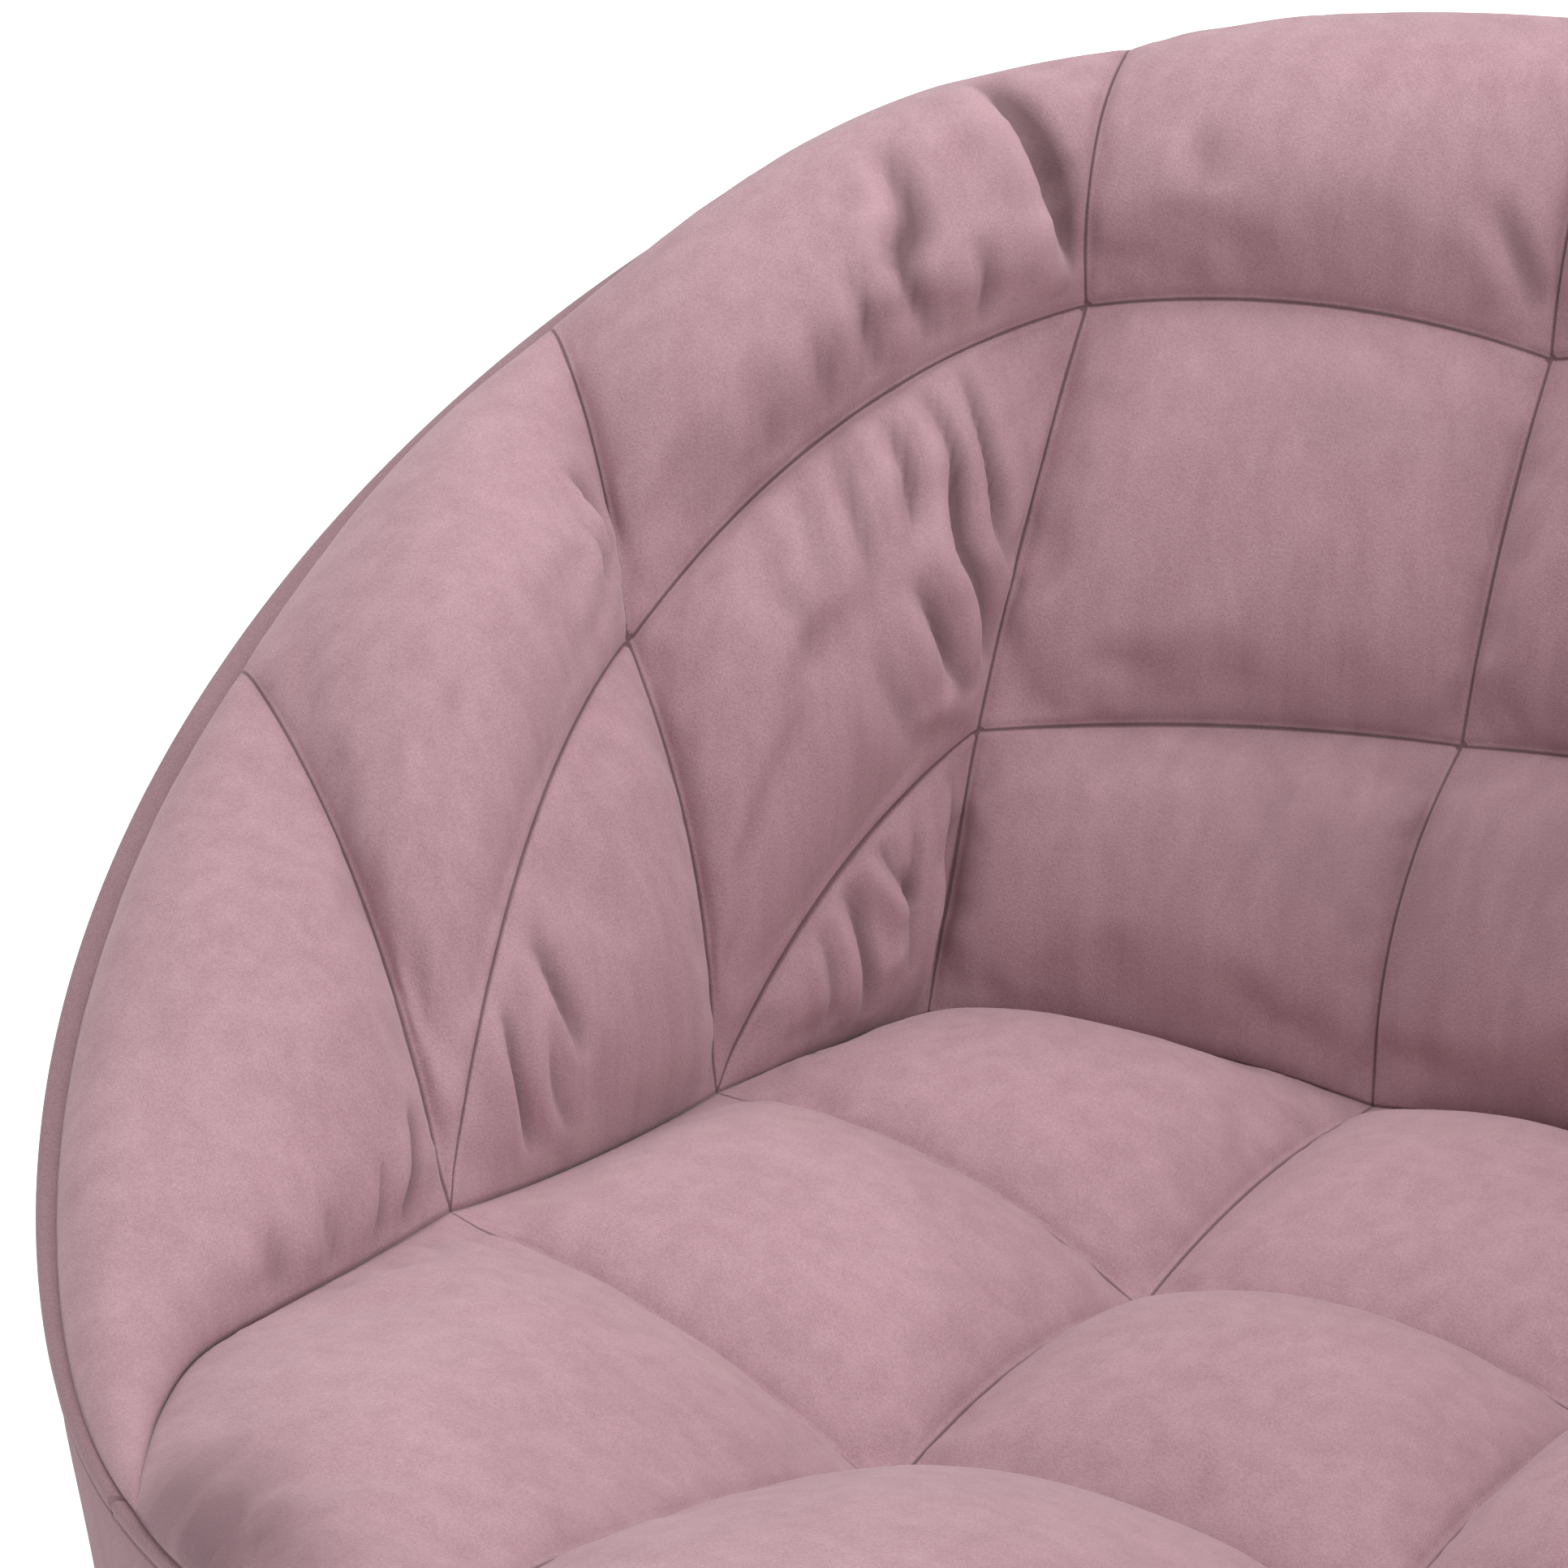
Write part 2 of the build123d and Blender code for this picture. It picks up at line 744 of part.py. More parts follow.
plan = seat_plan()
seat_core = barrel_core(frame_clearance, seat_low, rim_front_height + wall_gap)
band_room = barrel_wall(-board, shell_inner + wall_gap, rim_front_height - band_height, seat_top + board)
band_top = below_rim(-wall_gap)
with BuildPart() as band_space:
    add(band_room)
    add(band_top, mode=Mode.INTERSECT)
with BuildPart() as seat_pad:
    with BuildSketch(Plane.XY.offset(seat_low)):
        add(plan)
        offset(amount=-soft_gap, kind=Kind.INTERSECTION)
    extrude(amount=rim_front_height + wall_gap - seat_low)
    add(seat_core, mode=Mode.INTERSECT)
    with BuildSketch(Plane.XY.offset(rim_front_height + wall_gap)):
        add(plan)
    extrude(amount=seat_top - seat_low)
    rake_plane = Plane(origin=(0, 0, seat_top), z_dir=(0, seat_rake, 1))
    split(bisect_by=rake_plane, keep=Keep.BOTTOM)
    add(band_space.part, mode=Mode.SUBTRACT)
save(seat_pad.part, "seat_pad")
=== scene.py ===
"""Glider nursery chair: quilted velvet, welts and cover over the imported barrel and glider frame."""

import json
from math import atan, cos, pi, radians, sin, tan

import bpy
import numpy as np
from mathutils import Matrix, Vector
from mathutils.kdtree import KDTree
from mathutils.noise import noise as soft_noise


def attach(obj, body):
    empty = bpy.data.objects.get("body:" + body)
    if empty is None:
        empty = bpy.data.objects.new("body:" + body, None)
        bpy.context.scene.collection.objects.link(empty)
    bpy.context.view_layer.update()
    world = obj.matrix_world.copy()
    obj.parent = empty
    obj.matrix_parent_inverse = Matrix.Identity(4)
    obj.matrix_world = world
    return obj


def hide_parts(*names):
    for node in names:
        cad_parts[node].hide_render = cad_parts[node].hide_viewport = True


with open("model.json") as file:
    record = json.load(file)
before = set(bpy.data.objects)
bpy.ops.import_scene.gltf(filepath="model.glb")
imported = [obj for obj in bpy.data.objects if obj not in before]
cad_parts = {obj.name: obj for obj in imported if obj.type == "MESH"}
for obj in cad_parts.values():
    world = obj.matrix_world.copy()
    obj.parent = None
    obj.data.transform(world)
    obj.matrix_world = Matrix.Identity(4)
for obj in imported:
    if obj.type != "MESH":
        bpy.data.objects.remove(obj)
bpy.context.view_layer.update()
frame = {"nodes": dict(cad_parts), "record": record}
MM = 0.001

# ---------------------------------------------------------------- the barrel, in millimetres
barrel_radius = 440
waist_height = 720
bow_radius = 2500
rim_front_height = 435
rim_slope = 0.52
rim_start = -303
rim_start_round = 200
rim_ease_start = 200
rim_ease = 0.00085
foot_height = 55
band_split = -352
rim_point_rounds = 4


def side_radius(z):
    """Outside radius of the barrel at a height."""
    return barrel_radius - bow_radius + np.sqrt(bow_radius**2 - (z - waist_height) ** 2)


def rim_height(y):
    """Height of the rim at a distance from the middle: level, rounded into a slope, then eased."""
    reach = rim_start_round * tan(atan(rim_slope) / 2)
    slope = rim_front_height + rim_slope * (y - rim_start) - rim_ease * np.maximum(0, y - rim_ease_start) ** 2
    along = np.clip(y - (rim_start - reach), 0, rim_start_round)
    rounded = rim_front_height + rim_start_round - np.sqrt(rim_start_round**2 - along**2)
    return np.where(y < rim_start + reach * cos(atan(rim_slope)), rounded, slope)


def rim_point(turn, inset, lift=0.0):
    """A point near the rim, turned from the middle of the back; negative turns are towards -X."""
    radius = barrel_radius
    for _ in range(rim_point_rounds):
        height = float(rim_height(radius * cos(turn)))
        radius = float(side_radius(height)) - inset
    return np.array([radius * sin(turn), radius * cos(turn), height + lift])


# ---------------------------------------------------------------- seams of the quilting
# Points of the -X half, from the front round to the back; "-name" is the same point on the +X half.
rim_inset = 10
rim_lift = -0.5
seam_crowding = 0.5
crown_square = 2.2
crown_round = 0.75
line_samples = 41
corner_sharpness = 6
weld_distance = 0.02
weld_shift = 0.137
seam_points = {
    "rim1": rim_point(radians(-94), rim_inset, rim_lift),
    "rim2": rim_point(radians(-70.6), rim_inset, rim_lift),
    "rim3": rim_point(radians(-38), rim_inset, rim_lift),
    "rim4": rim_point(radians(-12), rim_inset, rim_lift),
    "high2": (-334, 89, 572),
    "high3": (-249, 279, 667),
    "high4": (-88, 352, 654),
    "low3": (-249, 201, 519),
    "low4": (-90, 292, 516),
    "crease0": (-223, -359, 436),
    "crease1": (-270, -121, 436),
    "crease2": (-273, 53, 417),
    "crease3": (-252, 170, 413),
    "crease4": (-92, 232, 388),
    "tuft_rear": (-92, 53, 376),
    "tuft_front": (-92, -121, 376),
    "front1": (-92, -415, 436),
}

# How far each seam bows up, or in, from the straight line between its ends.
seam_bows = {
    ("rim1", "crease1"): 28,
    ("rim2", "high2"): 15,
    ("high2", "crease2"): 20,
    ("rim3", "high3"): 28,
    ("high3", "low3"): 4,
    ("low3", "crease3"): 1,
    ("rim4", "high4"): 16,
    ("high4", "low4"): 6,
    ("low4", "crease4"): 20,
    ("crease1", "high2"): 36,
    ("high2", "high3"): 22,
    ("high3", "high4"): 11,
    ("high4", "-high4"): 10,
    ("crease2", "low3"): 16,
    ("low3", "low4"): 5,
    ("low4", "-low4"): 6,
    ("crease1", "crease2"): -4,
    ("crease2", "crease3"): 1,
    ("crease3", "crease4"): 7,
    ("crease4", "-crease4"): 6,
    ("crease1", "tuft_front"): 9,
    ("crease2", "tuft_rear"): 16,
    ("crease4", "tuft_rear"): 10,
    ("tuft_rear", "tuft_front"): 13,
    ("tuft_rear", "-tuft_rear"): 14,
    ("tuft_front", "-tuft_front"): 12,
}

# Seams with a longer way to go pass through more points.
seam_routes = {
    ("crease0", "crease1"): [
        (-226, -353, 438),
        (-236, -337, 440),
        (-254, -305, 440),
        (-268, -267, 440),
        (-268, -226, 440),
        (-267, -181, 439),
    ],
    ("tuft_front", "front1"): [
        (-92, -180, 404),
        (-92, -265, 428),
        (-92, -350, 444),
        (-92, -392, 450),
        (-92, -416, 448),
        (-92, -421, 442),
    ],
}

# Panels, named by their corners, with the height of each crown.
back_panels = [
    (("crease0", "rim1", "crease1"), 22),
    (("crease1", "rim1", "rim2", "high2"), 17),
    (("crease1", "high2", "crease2"), 11),
    (("high2", "rim2", "rim3", "high3"), 19),
    (("crease2", "high2", "high3", "low3"), 16),
    (("crease2", "low3", "crease3"), 9),
    (("high3", "rim3", "rim4", "high4"), 15),
    (("low3", "high3", "high4", "low4"), 15),
    (("crease3", "low3", "low4", "crease4"), 12),
]
back_middle = [
    (("high4", "rim4", "-rim4", "-high4"), 15),
    (("low4", "high4", "-high4", "-low4"), 15),
    (("crease4", "low4", "-low4", "-crease4"), 12),
]
seat_panels = [
    (("crease2", "crease3", "crease4", "tuft_rear"), 14),
    (("crease1", "crease2", "tuft_rear", "tuft_front"), 16),
    (("crease0", "crease1", "tuft_front", "front1"), 16),
]
seat_middle = [
    (("tuft_rear", "crease4", "-crease4", "-tuft_rear"), 14),
    (("tuft_front", "tuft_rear", "-tuft_rear", "-tuft_front"), 16),
    (("front1", "tuft_front", "-tuft_front", "-front1"), 16),
]


def mirrored(name):
    """The name of the same point on the other side."""
    return name[1:] if name.startswith("-") else "-" + name


def place(name):
    """Where a named seam point is."""
    if name.startswith("-"):
        return np.array(seam_points[name[1:]], float) * (-1, 1, 1)
    return np.array(seam_points[name], float)


def closer_at_ends(count):
    """Shares from 0 to 1 that stand closer together at both ends, where the seams are."""
    even = np.linspace(0, 1, count + 1)
    return (1 - seam_crowding) * even + seam_crowding * (0.5 - 0.5 * np.cos(pi * even))


def closer_at_start(count):
    """The first half of closer_at_ends, stretched from 0 to 1."""
    return 2 * closer_at_ends(2 * count)[: count + 1]


def smooth_line(points, shares):
    """Points at shares of the length of a smooth line through the given ones."""
    points = [np.array(p, float) for p in points]
    padded = [2 * points[0] - points[1], *points, 2 * points[-1] - points[-2]]
    line = [points[0]]
    for before, start, end, after in zip(padded, padded[1:], padded[2:], padded[3:]):
        for t in np.linspace(0, 1, line_samples)[1:]:
            line.append(
                0.5 * (2 * start + (end - before) * t + (2 * before - 5 * start + 4 * end - after) * t**2)
                + 0.5 * (3 * start - before - 3 * end + after) * t**3
            )
    line = np.array(line)
    lengths = np.concatenate([[0], np.cumsum(np.linalg.norm(np.diff(line, axis=0), axis=1))])
    return np.stack([np.interp(shares * lengths[-1], lengths, line[:, axis]) for axis in range(3)], axis=1)


def bowed_line(start, end, bow, shares):
    """A line that bows from the straight one, upwards and square to it."""
    chord = (end - start) / np.linalg.norm(end - start)
    upward = np.array([0, 0, 1]) - chord[2] * chord
    upward = upward / np.linalg.norm(upward)
    t = shares[:, None]
    return start + (end - start) * t + upward * bow * 4 * t * (1 - t)


def turn_of(point):
    """Angle of a point from the middle of the back."""
    return np.arctan2(point[0], point[1])


def rim_line(start, end, shares):
    """The pad's edge along the rim."""
    turns = turn_of(start) + (turn_of(end) - turn_of(start)) * shares
    line = np.array([rim_point(t, rim_inset, rim_lift) for t in turns])
    line += np.outer(1 - shares, start - line[0]) + np.outer(shares, end - line[-1])
    return line


def front_line(start, end, t):
    """The seat's lower front edge, on the band."""
    first, last = np.arctan2(start[0], -start[1]), np.arctan2(end[0], -end[1])
    turns = first + (last - first) * t
    inner, outer = np.hypot(start[0], start[1]), np.hypot(end[0], end[1])
    towards_inner = (1 - t) ** corner_sharpness if outer > inner else 1 - t**corner_sharpness
    radii = outer + (inner - outer) * towards_inner
    heights = start[2] * (1 - t) + end[2] * t
    return np.stack([radii * np.sin(turns), -radii * np.cos(turns), heights], axis=1)


def seam_keys(start, end):
    """The ways in which a seam may be listed."""
    pairs = [(start, end), (mirrored(start), mirrored(end))]
    return pairs + [(b, a) for a, b in pairs]


def seam(start, end, count):
    """Points along the seam between two named points."""
    shares = closer_at_ends(count)
    for first, last in ((start, end), (mirrored(start), mirrored(end))):
        flip = np.array([1, 1, 1]) if first == start else np.array([-1, 1, 1])
        a, b = place(first), place(last)
        for table, make in ((seam_bows, bowed_line), (seam_routes, None)):
            for key, back in (((first, last), False), ((last, first), True)):
                if key not in table:
                    continue
                head, tail = (b, a) if back else (a, b)
                if make:
                    line = make(head, tail, table[key], shares)
                else:
                    line = smooth_line([head, *table[key], tail], shares)
                return (line[::-1] if back else line) * flip
    if start.endswith("front1") or end.endswith("front1"):
        return front_line(place(start), place(end), shares)
    return rim_line(place(start), place(end), shares)


def coons(bottom, right, top, left, shares):
    """Grid between four sides; bottom and top run the same way, as left and right do."""
    u = shares[None, :, None]
    v = shares[:, None, None]
    across = bottom[None] * (1 - v) + top[None] * v
    along = left[:, None] * (1 - u) + right[:, None] * u
    corners = (
        bottom[0] * (1 - u) * (1 - v) + bottom[-1] * u * (1 - v) + top[0] * (1 - u) * v + top[-1] * u * v
    )
    return across + along - corners


def four_sided(names, count):
    """The grid of a panel with four corners, its crown share, and its own (u, v) coordinates."""
    a, b, c, d = names
    shares = closer_at_ends(count)
    grid = coons(seam(a, b, count), seam(b, c, count), seam(d, c, count), seam(a, d, count), shares)
    rise = (1 - np.abs(2 * shares - 1) ** crown_square) ** crown_round
    u, v = np.meshgrid(shares, shares)
    return [(grid, rise[:, None] * rise[None, :], np.stack([u, v], axis=-1))]


def three_sided(names, count):
    """Three grids that fill a panel with three corners, as four_sided gives one."""
    half = count // 2
    shares = closer_at_start(half)
    along = closer_at_ends(count)[:, None]
    corners = np.eye(3)
    sides = [seam(names[i], names[(i + 1) % 3], count) for i in range(3)]
    weights = [corners[i] * (1 - along) + corners[(i + 1) % 3] * along for i in range(3)]
    parts = []
    for values in (sides, weights):
        centre = sum(line[half] for line in values) / 3
        inward = [line[half] + (centre - line[half]) * shares[:, None] for line in values]
        grids = []
        for i in range(3):
            ahead, behind = values[i][: half + 1], values[i - 1][::-1][: half + 1]
            grids.append(coons(ahead, inward[i], inward[i - 1], behind, shares))
        parts.append(grids)
    panels = []
    for grid, weight in zip(*parts):
        share = (27 * np.prod(np.clip(weight, 0, 1), axis=2)) ** crown_round
        panels.append((grid, share, weight[..., 1:]))
    return panels


def quilt_grids(side_panels, middle_panels, count):
    """Every grid of a quilt, on both sides: points, crown heights, (u, v) and corner names."""
    panels = list(middle_panels)
    for names, crown in side_panels:
        panels += [(names, crown), (tuple(mirrored(n) for n in names)[::-1], crown)]
    grids = []
    for names, crown in panels:
        fill = four_sided if len(names) == 4 else three_sided
        grids += [(grid, share * crown, where, names) for grid, share, where in fill(names, count)]
    return grids


def welded(grids):
    """One set of points, crowns and faces from many grids that share their edges."""
    points, crowns, faces, offset = [], [], [], 0
    for grid, crown, _, _ in grids:
        rows, columns = grid.shape[:2]
        index = np.arange(rows * columns).reshape(rows, columns) + offset
        quads = np.stack([index[:-1, :-1], index[:-1, 1:], index[1:, 1:], index[1:, :-1]], axis=-1)
        faces.append(quads.reshape(-1, 4))
        points.append(grid.reshape(-1, 3))
        crowns.append(crown.reshape(-1))
        offset += rows * columns
    points, crowns, faces = np.concatenate(points), np.concatenate(crowns), np.concatenate(faces)
    cells = np.round(points / weld_distance + weld_shift)
    _, first, inverse = np.unique(cells, axis=0, return_index=True, return_inverse=True)
    return points[first], crowns[first], inverse.reshape(-1)[faces]


def panel_path(grids, names, route):
    """A route given in a panel's own (u, v), as points on that panel."""
    path = []
    for u, v in route:
        best = None
        for grid, _, where, corners in grids:
            if corners != names:
                continue
            away = np.sum((where - (u, v)) ** 2, axis=-1)
            row, column = np.unravel_index(np.argmin(away), away.shape)
            if best is None or away[row, column] < best[0]:
                best = (away[row, column], grid[row, column])
        path.append(best[1])
    return path


def distance_to(points, lines):
    """How far each point is from the nearest of some lines of points."""
    samples = np.concatenate(lines)
    tree = KDTree(len(samples))
    for number, sample in enumerate(samples):
        tree.insert(sample, number)
    tree.balance()
    return np.array([tree.find(p)[2] for p in points])


def new_object(name, points, faces):
    """A mesh object from points in millimetres."""
    mesh = bpy.data.meshes.new(name)
    mesh.from_pydata((points * MM).tolist(), [], [list(map(int, f)) for f in faces])
    mesh.validate()
    thing = bpy.data.objects.new(name, mesh)
    bpy.context.scene.collection.objects.link(thing)
    return thing


def coordinates(mesh):
    """Positions of a mesh's points, in millimetres."""
    values = np.zeros(len(mesh.vertices) * 3, np.float32)
    mesh.vertices.foreach_get("co", values)
    return values.reshape(-1, 3).astype(float) / MM


def set_coordinates(mesh, points):
    """Moves a mesh's points, given in millimetres."""
    mesh.vertices.foreach_set("co", (points * MM).astype(np.float32).reshape(-1))
    mesh.update()


def point_normals(points, faces):
    """Unit normals at points, from their faces."""
    a, b, c, d = (points[faces[:, i]] for i in range(4))
    face_normals = np.cross(c - a, d - b)
    normals = np.zeros_like(points)
    for i in range(4):
        np.add.at(normals, faces[:, i], face_normals)
    return normals / np.maximum(np.linalg.norm(normals, axis=1, keepdims=True), 1e-9)


def relaxed(points, faces, held, rounds):
    """Points drawn towards their neighbours, except the held ones."""
    pairs = np.concatenate([faces[:, [i, (i + 1) % 4]] for i in range(4)])
    for _ in range(rounds):
        total, number = np.zeros_like(points), np.zeros((len(points), 1))
        for a, b in ((0, 1), (1, 0)):
            np.add.at(total, pairs[:, a], points[pairs[:, b]])
            np.add.at(number, pairs[:, a], 1)
        points = np.where(held[:, None], points, total / number)
    return points


def only(thing):
    """Selects one object and nothing else."""
    bpy.ops.object.select_all(action="DESELECT")
    thing.select_set(True)
    bpy.context.view_layer.objects.active = thing


# ---------------------------------------------------------------- padding
def puffed(points, faces, held, steps, pressure, slack):
    """Fabric blown up between its seams by a cloth simulation; returns its points."""
    thing = new_object("cloth_trial", points, faces)
    pins = thing.vertex_groups.new(name="seams")
    pins.add([int(i) for i in np.nonzero(held)[0]], 1.0, "REPLACE")
    cloth = thing.modifiers.new("cloth", "CLOTH")
    settings = cloth.settings
    settings.quality = 6
    settings.mass = 0.25
    settings.tension_stiffness = 20
    settings.compression_stiffness = 20
    settings.shear_stiffness = 8
    settings.bending_stiffness = 0.6
    settings.air_damping = 2
    settings.vertex_group_mass = "seams"
    settings.shrink_min = -slack
    settings.use_pressure = True
    settings.uniform_pressure_force = pressure
    settings.effector_weights.gravity = 0
    cloth.collision_settings.use_collision = False
    cloth.point_cache.frame_end = steps + 1
    scene = bpy.context.scene
    for step in range(1, steps + 1):
        scene.frame_set(step)
    settled = thing.evaluated_get(bpy.context.evaluated_depsgraph_get())
    result = coordinates(settled.data)
    bpy.data.objects.remove(thing)
    scene.frame_set(1)
    return result


def closed_pad(name, front, back, faces):
    """A pad with a visible front, a hidden back, and a wall joining their edges."""
    count = len(front)
    edges = {}
    for face in faces:
        for i in range(4):
            a, b = int(face[i]), int(face[(i + 1) % 4])
            edges[(a, b)] = (b, a)
    rims = [pair for pair in edges if (pair[1], pair[0]) not in edges]
    walls = np.array([[b, a, a + count, b + count] for a, b in rims])
    return new_object(
        name, np.concatenate([front, back]), np.concatenate([faces, faces[:, ::-1] + count, walls])
    )


def fold_shift(points, normals, path, depth, width):
    """How far one fold moves points: a valley along the path with a soft roll beside it."""
    line = smooth_line(path, np.linspace(0, 1, fold_steps + 1))
    near = np.min(np.linalg.norm(points[:, None] - line[None, ::4], axis=2), axis=1) < fold_reach
    shift = np.zeros(len(points))
    nearest = np.full(len(points), np.inf)
    for number, (a, b) in enumerate(zip(line, line[1:])):
        length = np.linalg.norm(b - a)
        along = (b - a) / length
        offset = points - a
        t = np.clip(offset @ along / length, 0, 1)
        away = np.linalg.norm(offset - np.outer(t * length, along), axis=1)
        aside = np.sum(offset * np.cross(normals, along), axis=1) / width
        taper = np.sin(pi * (number + t) / fold_steps) ** fold_taper
        section = -np.exp(-(aside**2)) + fold_roll * np.exp(-(((aside - roll_offset) / roll_width) ** 2))
        closer = near & (away < nearest)
        nearest = np.where(closer, away, nearest)
        shift = np.where(closer, section * taper * depth, shift)
    return shift * np.exp(-np.maximum(0, nearest - fold_widths * width))


def both_sides(folds):
    """Folds with their partners on the other side, which are a little shallower and shifted."""
    paired = []
    for names, route, depth, width in folds:
        paired.append((names, route, depth, width))
        if len(names) == 4:
            partner = [(u, 1 - v - fold_drift) for u, v in route[::-1]]
        else:
            partner = [(u, 1 - u - v) for u, v in route[::-1]]
        paired.append((tuple(mirrored(n) for n in names)[::-1], partner, depth * partner_depth, width))
    return paired


def quilt(name, side_panels, middle_panels, count, folds, low, roll):
    """A padded, seamed and closed piece of upholstery."""
    grids = quilt_grids(side_panels, middle_panels, count)
    base, crowns, faces = welded(grids)
    laid = base
    held = crowns < seam_crown
    nose = held & (laid[:, 1] < nose_start) & (laid[:, 2] > nose_low)
    base = relaxed(laid, faces, held & ~nose, base_rounds)
    normals = point_normals(base, faces)
    if np.mean(np.sum(normals * (sitting_middle - base), axis=1)) < 0:
        faces = faces[:, ::-1]
        normals = -normals
    stitched, creases, rims = [], [], []
    for _, _, _, names in grids:
        for start, end in zip(names, names[1:] + names[:1]):
            inner = any(k in t for t in (seam_bows, seam_routes) for k in seam_keys(start, end))
            crease = "crease" in start and "crease" in end
            kind = creases if crease else stitched if inner else rims
            kind.append(seam(start, end, 2 * count))
    from_seam, from_crease, from_rim = (distance_to(laid, lines) for lines in (stitched, creases, rims))
    from_edge = np.minimum(from_crease, from_rim)
    unevenness = np.array([soft_noise(Vector(p) / uneven_size) for p in base]) * uneven_height
    front = base + normals * (crowns * (1 + unevenness))[:, None]
    normals = point_normals(front, faces)
    move = puffed(front, faces, held, sim_steps, sim_pressure, sim_slack) - front
    cap = sim_cap * np.clip(from_crease / sim_crease_calm, sim_crease_least, 1)
    cap = cap * np.clip(from_rim / sim_rim_calm, sim_rim_least, 1)
    length = np.maximum(np.linalg.norm(move, axis=1), 1e-6)
    front = front + move * np.minimum(1, cap / length)[:, None]
    front = relaxed(front, faces, held, 1)
    shift = -groove_depth * np.exp(-from_seam / groove_width) * np.clip(from_edge / roll_radius, 0, 1)
    total = np.zeros(len(front))
    for names, route, depth, width in both_sides(folds):
        path = panel_path(grids, names, route)
        total += fold_shift(base, normals, path, depth, width)
    total *= np.clip(from_seam / fold_margin, 0, 1) * np.clip(from_edge / fold_margin, 0, 1)
    shift += total
    front = front + normals * shift[:, None]
    inward = np.clip(from_rim / roll_radius, 0, 1)
    rolled = np.sqrt(1 - (1 - inward) ** 2) * np.exp(-((from_rim / roll_fade) ** 2))
    front[:, 2] += roll * rolled * np.clip(from_crease / roll_fade, 0, 1)
    back = base - normals * pad_depth
    radius = np.hypot(back[:, 0], back[:, 1])
    limit = side_radius(np.clip(back[:, 2], *pad_heights)) - back_inset
    back[:, :2] *= np.minimum(1, limit / radius)[:, None]
    back[:, 2] = np.maximum(np.minimum(back[:, 2], base[:, 2] - back_drop), low)
    thing = closed_pad(name, front, back, faces)
    # Painted shade and brushed pile, darkening the colour in the listed patches.
    nap_and_shade = np.zeros(len(front))
    for centre, size, amount in nap_and_shade_patches:
        nap_and_shade += amount * np.exp(-np.sum(((front - centre) / size) ** 2, axis=1))
    # Painted shade: a mask that darkens the lining near its seams and pad edges, where the pad dips.
    seam_valley_shade = np.exp(-np.minimum(from_seam, from_edge) / valley_width)
    marks = (("seam", from_seam), ("valley", seam_valley_shade), ("fold", total), ("nap_and_shade", nap_and_shade))
    for label, value in marks:
        stored = thing.data.attributes.new(label, "FLOAT", "POINT")
        stored.data.foreach_set("value", np.concatenate([value, np.zeros(len(back))]).astype(np.float32))
    for polygon in thing.data.polygons:
        polygon.use_smooth = True
    return thing


sim_steps = 20
sim_pressure = 2.5
sim_slack = 0.015
sim_cap = 5
sim_crease_calm = 45
sim_crease_least = 0.1
sim_rim_calm = 120
sim_rim_least = 0.05
seam_crown = 1e-6
base_rounds = 12
panel_rows = 50
nose_start = -380
nose_low = 437
pad_depth = 24
pad_heights = (300, 780)
back_inset = 12
back_drop = 8
sitting_middle = np.array([0, -60, 640])
uneven_size = 90
uneven_height = 0.25
groove_depth = 1.9
groove_width = 2.2
seam_line_width = 0.75
valley_width = 14
roll_radius = 13
roll_fade = 70
fold_steps = 16
fold_reach = 45
fold_taper = 0.7
fold_widths = 4
fold_roll = 0.6
roll_offset = 1.7
roll_width = 1.1
fold_margin = 4
fold_drift = 0.02
partner_depth = 0.8

# Patches of darker colour, partly pile brushed the dark way by hands and partly painted shade, as over the
# seat and on the lower back: middle, size and strength.
nap_and_shade_patches = [
    ((-186, -368, 452), (30, 28, 40), 0.9),
    ((-150, -384, 450), (36, 22, 40), 0.7),
    ((-212, -350, 450), (20, 26, 40), 0.5),
    ((190, -372, 450), (36, 24, 40), 0.5),
    ((-150, 262, 484), (120, 80, 54), 0.72),
    ((10, 275, 475), (90, 60, 56), 0.6),
    ((170, 262, 475), (90, 60, 56), 0.65),
    ((0, -150, 430), (190, 220, 60), 0.2),
    ((-150, 300, 640), (90, 60, 26), 0.35),
    ((120, 305, 630), (90, 60, 30), 0.35),
    ((-350, -300, 470), (30, 60, 40), 0.35),
]

